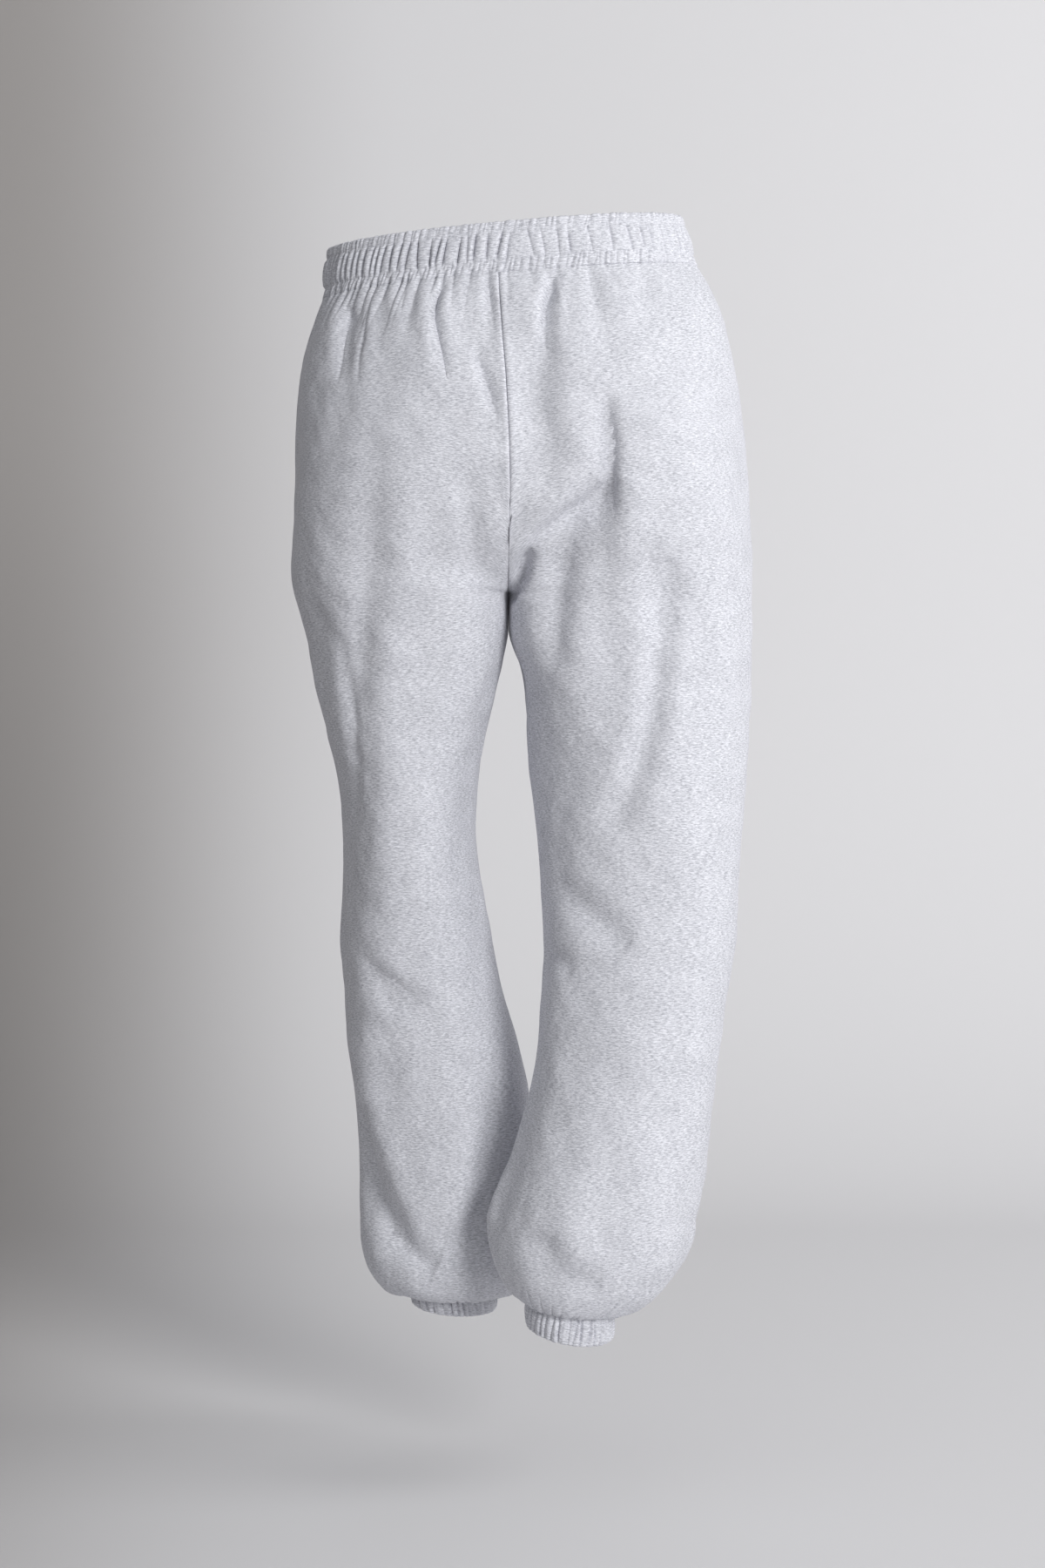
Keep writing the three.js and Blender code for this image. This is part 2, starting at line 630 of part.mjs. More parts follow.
function bandGeometry() {
  const count = BAND_GATHERS * BAND_POINTS_PER_GATHER;
  const rings = BAND_ROWS.map((row) =>
    ringPoints(bandSection(row.up), count).map((p) => {
      const out = row.out + row.ruffle * gather(p.place, BAND_GATHERS);
      const x = p.x + p.nx * out;
      return { x, y: p.y + p.ny * out, z: BAND_FOOT + row.up - WAIST_ROLL * x };
    }),
  );
  return geometryOf(tube(rings));
}

function cuffGeometry(half) {
  const count = CUFF_GATHERS * CUFF_POINTS_PER_GATHER;
  const rings = CUFF_ROWS.map((row) =>
    Array.from({ length: count }, (_, i) => {
      const out = row.out + row.ruffle * gather(i / count, CUFF_GATHERS);
      const p = cuffPoint(half, i / count, out);
      return { ...p, z: p.z - CUFF_HEIGHT + row.up };
    }),
  );
  return geometryOf(tube(rings));
}

const fleece = { color: 0xc9cad2, roughness: 0.95, metalness: 0 };
const trousers = new THREE.Group();

function add(name, geometry) {
  const mesh = new THREE.Mesh(geometry, new THREE.MeshStandardMaterial(fleece));
  mesh.name = name;
  trousers.add(mesh);
}

for (const { name, geometry } of panels()) add(name, geometry);
for (const half of Object.values(HALVES)) add(`cuff_${half.side}`, cuffGeometry(half));
add("waistband", bandGeometry());

export default trousers;
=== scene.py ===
# Fleece jogger sweatpants as worn, seen from behind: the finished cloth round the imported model.
# Lengths are in millimetres, as in the part's source, and meshes are made in metres.
import math

import bpy
import numpy as np
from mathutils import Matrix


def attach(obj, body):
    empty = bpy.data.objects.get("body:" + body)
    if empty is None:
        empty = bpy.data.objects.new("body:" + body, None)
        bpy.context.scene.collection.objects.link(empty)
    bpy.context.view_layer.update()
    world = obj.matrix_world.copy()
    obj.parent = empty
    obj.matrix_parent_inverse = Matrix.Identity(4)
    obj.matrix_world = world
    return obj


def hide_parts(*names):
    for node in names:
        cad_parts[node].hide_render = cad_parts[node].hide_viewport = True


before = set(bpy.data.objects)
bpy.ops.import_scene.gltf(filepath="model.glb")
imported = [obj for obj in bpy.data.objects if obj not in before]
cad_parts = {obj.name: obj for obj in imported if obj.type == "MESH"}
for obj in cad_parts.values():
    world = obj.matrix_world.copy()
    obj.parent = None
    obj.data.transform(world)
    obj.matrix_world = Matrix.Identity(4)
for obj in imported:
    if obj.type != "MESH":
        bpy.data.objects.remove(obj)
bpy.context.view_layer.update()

MM = 0.001
QUARTER = math.pi / 2

# The garment's driving sizes
CLOTH = 2.0  # thickness of the fleece
SEAM_GAP = 0.3
BAND_HEIGHT = 43.0
BAND_WALL = 3.6
CUFF_HEIGHT = 26.0
CUFF_WALL = 3.2
WAIST_ROLL = 0.091  # slope of the waist, higher on the wearer's right
ROLL_ENDS = -220.0
CROTCH = -296.0
LEGS_CLEAR = -345.0
BAND_FOOT = -BAND_HEIGHT / 2
LOBE = 2.2  # roundness of the sections
PINCH_BACK = 12
PINCH_FRONT = 10
DIVE_EASING, DIVE_LATENESS = 4, 12  # the dive to the crotch ends gently out from the centre seam
FULLER = 1.2  # how much fuller than round the inner thighs are, and from where to where
TRUNK_ROUND, TRUNK_FULLEST, THIGH_FULLEST, THIGH_ROUND = -200, -275, -345, -450
ROW_BEND = 2.5

# Fineness of the meshes
SECTION_STEPS = 140  # points on each quarter of a section before it is shared out
PANEL_COLUMNS = 232
INNER_EVERY = 4  # the inside of a wall has a point for this many on the outside
HEM_STEPS = 40
BAND_COLUMNS = 1560
CUFF_COLUMNS = 500

# Heights of a panel's rows at the side seam and at its inner edge
ROW_HEIGHTS = [
    (BAND_FOOT - SEAM_GAP, BAND_FOOT - SEAM_GAP), (-36, -36), (-54, -54), (-74, -74),
    (-98, -98), (-124, -126), (-150, -158), (-176, -190), (-200, -218), (-222, -242),
    (-243, -262), (-262, -277), (-279, -287), (-295, -293), (-311, CROTCH), (-327, -302),
    (-345, -318), (-368, -346), (-398, -384), (-440, -434), (-490, -490), (-545, -545),
    (-600, -600),
]
# How far apart the rows are, by the height where each spacing begins
ROW_SPACING = [(0, 1.7), (-54, 2.4), (-124, 3.0), (-345, 3.8)]

# Where columns are shared out by the turn of the section instead of evenly
TRUNK_EVEN, TRUNK_FULL, THIGH_FULL, THIGH_EVEN = -90, -230, -340, -470

# Sections of the two halves: z, outer, inner, mid, front, back
LEFT_SECTIONS = np.array([
    (-22, 164, 0, 0, 105, 107), (-40, 172, 0, 1, 113, 116), (-60, 178, 0, 2, 119, 124),
    (-85, 183, 0, 4, 124, 131), (-120, 187, 0, 6, 128, 138), (-165, 189, 0, 8, 131, 141),
    (-210, 190, 0, 8, 131, 138), (-250, 192, 0, 6, 129, 130), (-272, 194, 0, 4, 127, 124),
    (-296, 191, 0, 3, 124, 119), (-316, 185, 0, 1, 121, 115), (-338, 179, 1.5, -1, 119, 112),
    (-370, 174, 9, -4, 118, 110), (-428, 161, 22, -8, 114, 106), (-467, 153, 28, -13, 110, 102),
    (-514, 149, 30, -19, 104, 98), (-560, 150, 25, -25, 97, 93), (-608, 152, 16, -30, 90, 88),
    (-655, 149, 7, -34, 84, 84), (-701, 147, -6, -37, 80, 81), (-748, 141, -18, -40, 78, 80),
    (-800, 137, -22, -43, 78, 81), (-850, 136, -21, -45, 80, 84), (-875, 135, -20, -46, 80, 84),
])
RIGHT_SECTIONS = np.array([
    (-22, 167, 0, 0, 105, 107), (-40, 178, 0, 1, 113, 116), (-60, 188, 0, 2, 119, 124),
    (-85, 196, 0, 4, 124, 131), (-120, 204, 0, 6, 128, 138), (-165, 209, 0, 8, 131, 141),
    (-210, 212, 0, 8, 131, 138), (-250, 215, 0, 6, 129, 130), (-272, 217, 0, 4, 127, 124),
    (-296, 217, 0, 3, 124, 119), (-316, 217, 0, 4, 121, 116), (-338, 216, 2, 6, 117, 114),
    (-370, 214, 13, 9, 111, 109), (-428, 212, 17, 16, 103, 101), (-467, 210, 20, 22, 98, 96),
    (-514, 207, 26, 28, 92, 91), (-560, 204, 29, 34, 86, 85), (-608, 200, 31, 41, 81, 80),
    (-655, 192, 28, 47, 78, 77), (-701, 186, 25, 53, 76, 76), (-748, 180, 16, 58, 76, 76),
    (-800, 172, 0, 65, 77, 79), (-825, 168, -12, 69, 78, 81), (-846, 163, -18, 71, 79, 82),
])
# How the trunk is shaped: z, lobe, seam_back, seam_front, side_turn
TRUNK = np.array([
    (-22, 0.06, 8, -6, 18), (-60, 0.14, 6, -5, 15), (-120, 0.27, 1, -3, 10),
    (-200, 0.38, -2, -1, 4), (-296, 0.5, 0, 0, 0), (-900, 0.5, 0, 0, 0),
])

CUFFS = {
    "left": dict(x=50, y=-45, z=-922, half_width=38, half_depth=42, roll=0.07, pitch=-0.05),
    "right": dict(x=-54, y=80, z=-918, half_width=38, half_depth=42, roll=0.15, pitch=-0.12),
}
HEMS = {
    "left": dict(start=-880, inner_turn=125, outer_turn=125, flat_inside=0, flat_outside=0, sag=-1,
                 sag_outside=4),
    "right": dict(start=-846, inner_turn=99, outer_turn=98, flat_inside=0.35, flat_outside=0.4, sag=1,
                  sag_outside=0),
}
BAND_TOP = {"left": 161, "right": 155, "front": 101, "back": 103}

# Folds as soft troughs along a smooth line: width, depth, held, then the places in x and z that the
# line passes. A held fold is deepest at its first place, and the longer the more it is held.
# A negative depth is a ridge.
BACK_FOLDS = [
    (6, 6, 1, (137, -40), (141, -84), (140, -128)),
    (6, 5, 1, (141, -51), (146, -84), (148, -118)),
    (6, 5, 1, (129, -40), (132, -70), (134, -104)),
    (7, 3, 1, (106, -36), (110, -67), (113, -100)),
    (5, 3, 1, (81, -32), (84, -58), (84, -80)),
    (5, 5, 1, (54, -30), (62, -50), (60, -80), (52, -120)),
    (5, 4, 1, (17, -26), (15, -52), (11, -80)),
    (6, 3, 0, (28, -88), (17, -126), (9, -152)),
    (6, 6, 1, (-40, -18), (-34, -52), (-32, -112)),
    (14, 5, 0, (-28, -76), (-25, -126), (-31, -163), (-34, -215)),
    (8, 3, 1, (-70, -18), (-77, -57), (-84, -95)),
    (9, 2.5, 1, (-116, -14), (-119, -50), (-122, -84)),
    (6, 9, 3, (-3, -300), (-7, -288), (-12, -276), (-20, -264)),
    (15, 10, 0, (-78, -205), (-58, -240), (-46, -275), (-40, -320), (-40, -364)),
    (16, -5, 0, (-102, -196), (-100, -245), (-99, -290), (-100, -335)),
    (13, 8, 0, (-137, -270), (-131, -340), (-124, -404), (-114, -440), (-103, -471), (-88, -505)),
    (13, 6, 0, (-38, -548), (-70, -574), (-104, -602)),
    (8, 4, 0, (-27, -606), (-41, -614), (-58, -624)),
    (14, 5.5, 0, (-2, -838), (-25, -856), (-37, -870), (-50, -882), (-64, -888), (-80, -890)),
    (12, -3, 0, (138, -690), (124, -750), (108, -808), (97, -846), (80, -876)),
    (16, 8, 0, (20, -706), (10, -770), (18, -828), (30, -866), (46, -893)),
    (12, 5, 0, (128, -628), (98, -655), (60, -668)),
    (13, 4, 0, (112, -176), (120, -252), (124, -312), (130, -372), (132, -432), (131, -508), (126, -583)),
    (16, -3, 0, (88, -190), (90, -280), (98, -380), (102, -470)),
    (11, 3, 0, (38, -190), (30, -250), (24, -315)),
    (5, 2, 0, (148, -330), (139, -387), (134, -448), (137, -509)),
]
FRONT_FOLDS = [
    (8, 5, 1, (142, -40), (146, -80), (145, -120)),
    (7, 4, 1, (98, -36), (98, -71), (96, -110)),
    (6, 4, 1, (52, -32), (51, -57), (52, -84)),
    (5, 3, 1, (16, -28), (15, -50), (15, -70)),
    (6, 4, 1, (-22, -24), (-23, -53), (-22, -84)),
    (7, 5, 1, (-66, -20), (-69, -61), (-74, -104)),
    (8, 4, 1, (-112, -16), (-117, -53), (-120, -92)),
    (8, 4, 1, (-150, -10), (-156, -48), (-160, -84)),
    (14, 7, 0, (6, -292), (52, -261), (112, -228)),
    (14, 7, 0, (-6, -292), (-58, -258), (-124, -222)),
    (15, 5, 0, (20, -330), (66, -338), (118, -336)),
    (15, 5, 0, (-20, -330), (-74, -341), (-136, -338)),
    (15, 5, 0, (40, -560), (84, -568), (128, -560)),
    (15, 5, 0, (-50, -580), (-106, -591), (-168, -584)),
    (12, 4, 0, (20, -640), (68, -654), (118, -650)),
    (12, 4, 0, (-50, -660), (-102, -671), (-160, -664)),
    (13, 8, 0, (120, -812), (92, -866), (40, -886), (0, -856)),
    (13, 8, 0, (-146, -808), (-112, -866), (-60, -882), (-18, -850)),
]
# Creases with a sharp bottom, given like the folds
BACK_CREASES = [
    (2.0, 4.0, 0, (-41, -19), (-36, -38), (-32.5, -51), (-31, -72), (-32, -92)),
    (1.8, 3.8, 0, (54, -33), (61.5, -47), (62.5, -65), (58.5, -80), (54.5, -99), (51.5, -118)),
    (3.0, 3.0, 0, (120, -38), (124, -66), (128, -92), (130, -118)),
    (2.0, 2.8, 0, (141, -48), (145, -72), (147, -95), (148, -118)),
    (2.0, 1.6, 1, (-90, -17), (-88.5, -26), (-87.5, -34)),
    (2.2, 1.8, 0, (26, -96), (16, -127), (9, -148)),
    (2.0, 2.4, 1, (88, -40), (91, -51), (92, -64)),
    (2.0, 2.2, 1, (17, -25), (15.5, -45), (13.5, -61), (11.5, -78)),
    (2.0, 1.4, 1, (-69, -23), (-72, -38), (-76, -56)),
]
# Laps, where the cloth above drops to the cloth below: steep and gentle reach, depth, then the places
BACK_LAPS = [
    (5, 13, 13, (-4, -296), (-15, -270), (-31, -250), (-45, -239), (-58, -231), (-73, -222), (-84, -213),
     (-92, -200)),
    (4, 10, 11, (-84, -130), (-86, -155), (-88, -177), (-87, -200), (-82, -222), (-74, -242)),
    (9, 20, 15, (64, -898), (84, -889), (105, -872), (121, -849), (132, -820), (138, -786), (140, -752)),
]
SPAN_STEPS = 6
HELD_NARROW, HELD_SPREAD = 0.8, 0.6
FOLDS_FREE = 24.0  # distance below the waistband where a fold has its whole depth
FOLDS_FADE = 0.6  # share of the hem's roll over which the folds fade
FOLD_REACH = 4.5  # how many widths from its line a fold still presses
LAP_ROUND, LAP_SOFT = 1.25, 2.0  # power of a lap's fall, and how rounded its foot is
SIDE_SMOOTH, SIDE_FOLDED = 0.05, 0.4


# Shape of the sections

def smoothstep(low, high, value):
    t = np.clip((value - low) / (high - low), 0, 1)
    return t * t * (3 - 2 * t)


def column(rows, index):
    """A smooth curve through one column of a table, by height."""
    heights, values = rows[:, 0].astype(float), rows[:, index].astype(float)
    last = len(rows) - 1
    above, below = np.maximum(np.arange(last + 1) - 1, 0), np.minimum(np.arange(last + 1) + 1, last)
    slope = (values[below] - values[above]) / (heights[below] - heights[above])

    def value(z):
        z = np.asarray(z, dtype=float)
        i = np.clip(np.searchsorted(-heights, -z) - 1, 0, last - 1)
        span = heights[i + 1] - heights[i]
        t = np.clip((z - heights[i]) / span, 0, 1)
        t2, t3 = t * t, t * t * t
        start = values[i] * (2 * t3 - 3 * t2 + 1) + slope[i] * span * (t3 - 2 * t2 + t)
        return start + values[i + 1] * (3 * t2 - 2 * t3) + slope[i + 1] * span * (t3 - t2)

    return value


LOBE_SHARE, SEAM_BACK, SEAM_FRONT, SIDE_TURN = (column(TRUNK, i) for i in range(1, 5))


def half_of(side, sign, sections):
    outer, inner, mid, front, back = (column(sections, i) for i in range(1, 6))
    return dict(side=side, sign=sign, outer=outer, inner=inner, mid=mid, front=front, back=back,
                cuff=CUFFS[side], hem=HEMS[side])


HALVES = {"left": half_of("left", 1, LEFT_SECTIONS), "right": half_of("right", -1, RIGHT_SECTIONS)}


def near_crotch(z):
    return smoothstep(TRUNK_EVEN, TRUNK_FULL, z) * smoothstep(THIGH_EVEN, THIGH_FULL, z)


def fall_to(z):
    """How far down from the waistband to the crotch a height lies: 0 to 1."""
    return np.clip((BAND_FOOT - z) / (BAND_FOOT - CROTCH), 0, 1)


def pinch(z, lateness):
    """Share of the full depth that is left at the centre seam."""
    return np.sqrt(1 - fall_to(z) ** lateness)


def inner_round(z):
    """Power of the inner side's round: 1 is an ellipse, and less is fuller."""
    full = smoothstep(TRUNK_ROUND, TRUNK_FULLEST, z) * smoothstep(THIGH_ROUND, THIGH_FULLEST, z)
    return 2 / (2 + FULLER * full)


def quarter(inner, outer, lobe_share, mid, reach, depth_at_seam, easing=0.0, power=1.0):
    """One quarter of each section, from the seam out to the side: arrays of x and y."""
    inner, outer, lobe_share, mid, reach, depth_at_seam, easing, power = (
        np.asarray(v, dtype=float)[..., None]
        for v in np.broadcast_arrays(inner, outer, lobe_share, mid, reach, depth_at_seam, easing, power)
    )
    turn = QUARTER * np.arange(SECTION_STEPS + 1) / SECTION_STEPS
    lobe = inner + (outer - inner) * lobe_share
    across = 1 - np.cos(turn[:-1]) ** power
    share = depth_at_seam ** (1 + easing * across)
    roundness = 1 - share ** 2
    rise = np.sin(QUARTER * across) * (1 - roundness) + np.sin(turn[:-1]) ** power * roundness
    x_in = inner + (lobe - inner) * across
    y_in = mid + reach * (share + (1 - share) * rise)
    x_out = lobe + (outer - lobe) * np.sin(turn) ** (2 / LOBE)
    y_out = mid + reach * np.maximum(np.cos(turn), 0) ** (2 / LOBE)
    return np.concatenate([x_in, x_out], -1), np.concatenate([y_in, y_out], -1)


def half_sections(half, z):
    """Half of the garment at each height, from its inner front edge round the side to its back."""
    sign, above = half["sign"], z > CROTCH
    inner = half["inner"](z)
    inner_front = np.where(above, sign * SEAM_FRONT(z), inner)
    inner_back = np.where(above, sign * SEAM_BACK(z), inner)
    outer, mid, lobe = half["outer"](z), half["mid"](z), LOBE_SHARE(z)
    bend = DIVE_EASING * fall_to(z) ** DIVE_LATENESS, inner_round(z)
    fx, fy = quarter(inner_front, outer, lobe, mid, -half["front"](z), pinch(z, PINCH_FRONT), *bend)
    bx, by = quarter(inner_back, outer, lobe, mid, half["back"](z), pinch(z, PINCH_BACK), *bend)
    x = sign * np.concatenate([fx, bx[:, -2::-1]], 1)
    y = np.concatenate([fy, by[:, -2::-1]], 1)
    return x, y, fx.shape[1] - 1


def runs(x, y):
    """Distance run along each line of points."""
    steps = np.hypot(np.diff(x, axis=-1), np.diff(y, axis=-1))
    return np.concatenate([np.zeros(steps.shape[:-1] + (1,)), np.cumsum(steps, -1)], -1)


def along(x, y, run, distance):
    """The point of each line that lies a given distance along it."""
    i = np.clip((run < distance[:, None]).sum(1), 1, run.shape[1] - 1)[:, None]
    before, after = np.take_along_axis(run, i - 1, 1), np.take_along_axis(run, i, 1)
    t = (distance[:, None] - before) / (after - before)
    ends = [(np.take_along_axis(v, i - 1, 1), np.take_along_axis(v, i, 1)) for v in (x, y)]
    return [(a + (b - a) * t)[:, 0] for a, b in ends]


# Rows and columns of a panel

def column_shares():
    """Shares of the way across a panel, closer together beside its two edges."""
    edge = np.array([0, 0.5, 1.1, 1.9, 2.9, 4.1]) / 240
    middle = np.linspace(edge[-1], 1 - edge[-1], PANEL_COLUMNS + 3 - 2 * len(edge))
    return np.concatenate([edge[:-1], middle, 1 - edge[-2::-1]])


SHARES = column_shares()


def row_heights(hem_start):
    """The fine rows' heights at the side seam and at the inner edge."""
    knee = ROW_HEIGHTS[-1][0]
    rows = []
    for (side, inner), (next_side, next_inner) in zip(ROW_HEIGHTS, ROW_HEIGHTS[1:]):
        spacing = [gap for start, gap in ROW_SPACING if side <= start][-1]
        steps = math.ceil((side - next_side) / spacing)
        rows += [(side + (next_side - side) * i / steps, inner + (next_inner - inner) * i / steps)
                 for i in range(steps)]
    steps = math.ceil((knee - hem_start) / ROW_SPACING[-1][1])
    rows += [(knee + (hem_start - knee) * i / steps,) * 2 for i in range(steps + 1)]
    return rows


def panel_row(half, is_front, side_height, inner_height):
    """A row's points, and how far round the half each lies."""
    bend = (1 - SHARES if is_front else SHARES) ** ROW_BEND
    z = side_height + (inner_height - side_height) * bend
    x, y, side = half_sections(half, z)
    run = runs(x, y)
    whole, at_side = run[:, -1], run[:, side]
    seam = at_side + half["sign"] * SIDE_TURN(z)
    start, end = (np.zeros_like(seam), seam) if is_front else (seam, whole)
    place = SHARES * side + (0 if is_front else side)
    low = np.clip(place.astype(int), 0, run.shape[1] - 2)
    rows = np.arange(len(z))
    at_turn = run[rows, low] + (run[rows, low + 1] - run[rows, low]) * (place - low)
    by_turn = at_turn / at_side if is_front else (at_turn - at_side) / (whole - at_side)
    even = SHARES + (by_turn - SHARES) * near_crotch(z)
    distance = start + SEAM_GAP / 2 + (end - start - SEAM_GAP) * even
    px, py = along(x, y, run, distance)
    return np.stack([px, py, z], 1), distance / whole, whole


def rolled(points):
    """Slope of the whole waist, which dies away over the hips."""
    held = smoothstep(ROLL_ENDS, BAND_FOOT, points[..., 2])
    moved = points.copy()
    moved[..., 2] -= WAIST_ROLL * points[..., 0] * held
    return moved


def parted_at_centre(half, points):
    """Keeps the two halves off each other on the centre plane."""
    x, y, z = np.moveaxis(points, -1, 0)
    level = np.maximum(z, CROTCH)
    seam = np.where(y > half["mid"](level), SEAM_BACK(level), SEAM_FRONT(level))
    short = (z >= LEGS_CLEAR) & (half["sign"] * (x - seam) <= SEAM_GAP / 2)
    moved = points.copy()
    moved[..., 0] = np.where(short, seam + half["sign"] * SEAM_GAP / 2, x)
    return moved


def cuff_points(half, share, grow=0.0):
    """Points of a cuff's upper edge, a share of the way round the leg."""
    cuff = half["cuff"]
    turn = 2 * math.pi * share
    dx = -half["sign"] * (cuff["half_width"] + grow) * np.cos(turn)
    dy = -(cuff["half_depth"] + grow) * np.sin(turn)
    z = cuff["z"] + cuff["roll"] * dx + cuff["pitch"] * dy
    return np.stack([cuff["x"] + dx, cuff["y"] + dy, z], -1)


HEM_STANDS_OFF = 1.0
HEM_LAPS = 1.6


def hem_row(half, start, round_share, share):
    """A row where the leg rolls in to the cuff, a share of the way round the roll."""
    hem = half["hem"]
    outward = (1 - np.cos(2 * math.pi * round_share)) / 2
    whole = np.radians(hem["inner_turn"] + (hem["outer_turn"] - hem["inner_turn"]) * outward)
    turn = whole * share
    round_in = np.maximum((np.cos(turn) - np.cos(whole)) / (1 - np.cos(whole)), 0)
    full = round_in ** (1 + hem["flat_outside"] * outward + hem["flat_inside"] * (1 - outward))
    fall = np.sin(turn) / np.sin(whole)
    sewn = cuff_points(half, round_share, HEM_STANDS_OFF)
    row = sewn + (start - sewn) * full[:, None]
    row[:, 2] = start[:, 2] + (sewn[:, 2] + SEAM_GAP - start[:, 2]) * fall
    sag = hem["sag"] + hem["sag_outside"] * outward ** 2
    row[:, 2] -= sag * smoothstep(0.1, 0.75, share) * smoothstep(1, 0.85, share)
    return row


def panel_grid(half, is_front):
    """A panel's points from the waistband to the cuff, and what its folds and gathers need."""
    rows, rounds, wholes = [], [], []
    for heights in row_heights(half["hem"]["start"]):
        row, round_share, whole = panel_row(half, is_front, *heights)
        rows.append(row)
        rounds.append(round_share)
        wholes.append(whole)
    trunk_rows = len(rows)
    for i in range(1, HEM_STEPS + 1):
        rows.append(hem_row(half, rows[trunk_rows - 1], rounds[trunk_rows - 1], i / HEM_STEPS))
    lap = cuff_points(half, rounds[trunk_rows - 1], -HEM_LAPS)
    lap[:, 2] += SEAM_GAP
    rows.append(lap)
    hem_share = np.zeros(len(rows))
    hem_share[trunk_rows:] = np.minimum(np.arange(1, HEM_STEPS + 2) / HEM_STEPS, 1)
    points = rolled(parted_at_centre(half, np.array(rows)))
    crotch_row = next(i for i, (_, inner) in enumerate(row_heights(half["hem"]["start"])) if inner <= CROTCH)
    return dict(half=half, is_front=is_front, points=points, base=np.array(rows), hem_share=hem_share,
                round_top=rounds[0], whole_top=wholes[0][0], round_hem=rounds[trunk_rows - 1],
                crotch_row=crotch_row)


def grid_normals(points, facing):
    down = np.empty_like(points)
    down[1:-1] = points[2:] - points[:-2]
    down[0], down[-1] = points[1] - points[0], points[-1] - points[-2]
    across = np.empty_like(points)
    across[:, 1:-1] = points[:, 2:] - points[:, :-2]
    across[:, 0], across[:, -1] = points[:, 1] - points[:, 0], points[:, -1] - points[:, -2]
    normals = facing * np.cross(down, across)
    normals[0, :, 2] = 0
    return normals / np.maximum(np.linalg.norm(normals, axis=-1, keepdims=True), 1e-9)


def share_normals(*ends):
    mean = sum(ends)
    mean /= np.maximum(np.linalg.norm(mean, axis=-1, keepdims=True), 1e-9)
    for end in ends:
        end[:] = mean


def panel_normals(panels):
    """Normals of the four panels, equal on both sides of every seam."""
    normals = {name: grid_normals(p["points"], p["half"]["sign"]) for name, p in panels.items()}
    for side, half in HALVES.items():
        front, back = normals[f"front_{side}"], normals[f"back_{side}"]
        share_normals(front[:, -1], back[:, 0])
        split = panels[f"front_{side}"]["crotch_row"]
        share_normals(front[split + 1:, 0], back[split + 1:, -1])
    split = panels["front_left"]["crotch_row"]
    share_normals(normals["front_left"][:split, 0], normals["front_right"][:split, 0])
    share_normals(normals["back_left"][:split, -1], normals["back_right"][:split, -1])
    corner = [normals[f"front_{s}"][split:split + 1, 0] for s in HALVES]
    corner += [normals[f"back_{s}"][split:split + 1, -1] for s in HALVES]
    share_normals(*corner)
    return normals


# Folds

def smooth_line(places):
    """Points along a smooth line through a few places."""
    places = np.array(places, dtype=float)
    before, after = 2 * places[0] - places[1], 2 * places[-1] - places[-2]
    places = np.concatenate([before[None], places, after[None]])
    t = (np.arange(SPAN_STEPS) / SPAN_STEPS)[:, None]
    spans = []
    for a, b, c, d in zip(places, places[1:], places[2:], places[3:]):
        spans.append(b + (c - a) * t / 2 + (a - 2.5 * b + 2 * c - d / 2) * t ** 2
                     + (1.5 * (b - c) + (d - a) / 2) * t ** 3)
    return np.concatenate(spans + [places[-2:-1]])


def nearest_on(line, x, z):
    """How far each point lies from a line, how far along the line that is, and on which side."""
    lengths = np.hypot(*np.diff(line, axis=0).T)
    starts = np.concatenate([[0], np.cumsum(lengths)]) / lengths.sum()
    gap, place, side = np.full(x.shape, np.inf), np.zeros(x.shape), np.zeros(x.shape)
    for i, (start, end) in enumerate(zip(line, line[1:])):
        span = end - start
        t = np.clip(((x - start[0]) * span[0] + (z - start[1]) * span[1]) / (span @ span), 0, 1)
        away = np.hypot(start[0] + span[0] * t - x, start[1] + span[1] * t - z)
        nearer = away < gap
        gap = np.where(nearer, away, gap)
        place = np.where(nearer, starts[i] + t * (starts[i + 1] - starts[i]), place)
        side = np.where(nearer, np.sign(span[0] * (z - start[1]) - span[1] * (x - start[0])), side)
    return gap, place, side


def press_along(folds, x, z, sharp=False):
    """How deep all the folds of a list press each point in."""
    press = np.zeros(x.shape)
    for width, depth, held, *places in folds:
        line = smooth_line(places)
        reach = FOLD_REACH * width * (HELD_NARROW + HELD_SPREAD if held else 1)
        low, high = line.min(0) - reach, line.max(0) + reach
        near = (x > low[0]) & (x < high[0]) & (z > low[1]) & (z < high[1])
        gap, place, _ = nearest_on(line, x[near], z[near])
        strength = 1 - place ** (1 + held) if held else np.sqrt(np.sin(math.pi * np.clip(place, 0, 1)))
        spread = width * (HELD_NARROW + HELD_SPREAD * place) if held else width
        if sharp:
            press[near] += depth * strength * np.exp(-gap / spread)
            continue
        away = (gap / spread) ** 2 / 2
        press[near] += depth * strength * (1 - away) * np.exp(-away)
    return press


def press_laps(laps, x, z):
    """How deep all the laps press each point in."""
    press = np.zeros(x.shape)
    for steep, gentle, depth, *places in laps:
        gap, place, side = nearest_on(smooth_line(places), x, z)
        strength = np.sqrt(np.sin(math.pi * np.clip(place, 0, 1)))
        soft_gap = np.hypot(gap, LAP_SOFT) - LAP_SOFT
        press += depth * strength * np.exp(-(soft_gap / np.where(side > 0, gentle, steep)) ** LAP_ROUND)
    return press


def fold_weight(panel, normals):
    """Share of a fold's depth that each point takes."""
    below_band = BAND_FOOT - panel["base"][..., 2]
    free = np.clip(below_band / FOLDS_FREE, 0, 1)
    at_hem = np.clip((1 - panel["hem_share"]) / FOLDS_FADE, 0, 1)[:, None]
    facing = np.abs(normals[..., 1])
    return free * at_hem * smoothstep(SIDE_SMOOTH, SIDE_FOLDED, facing)


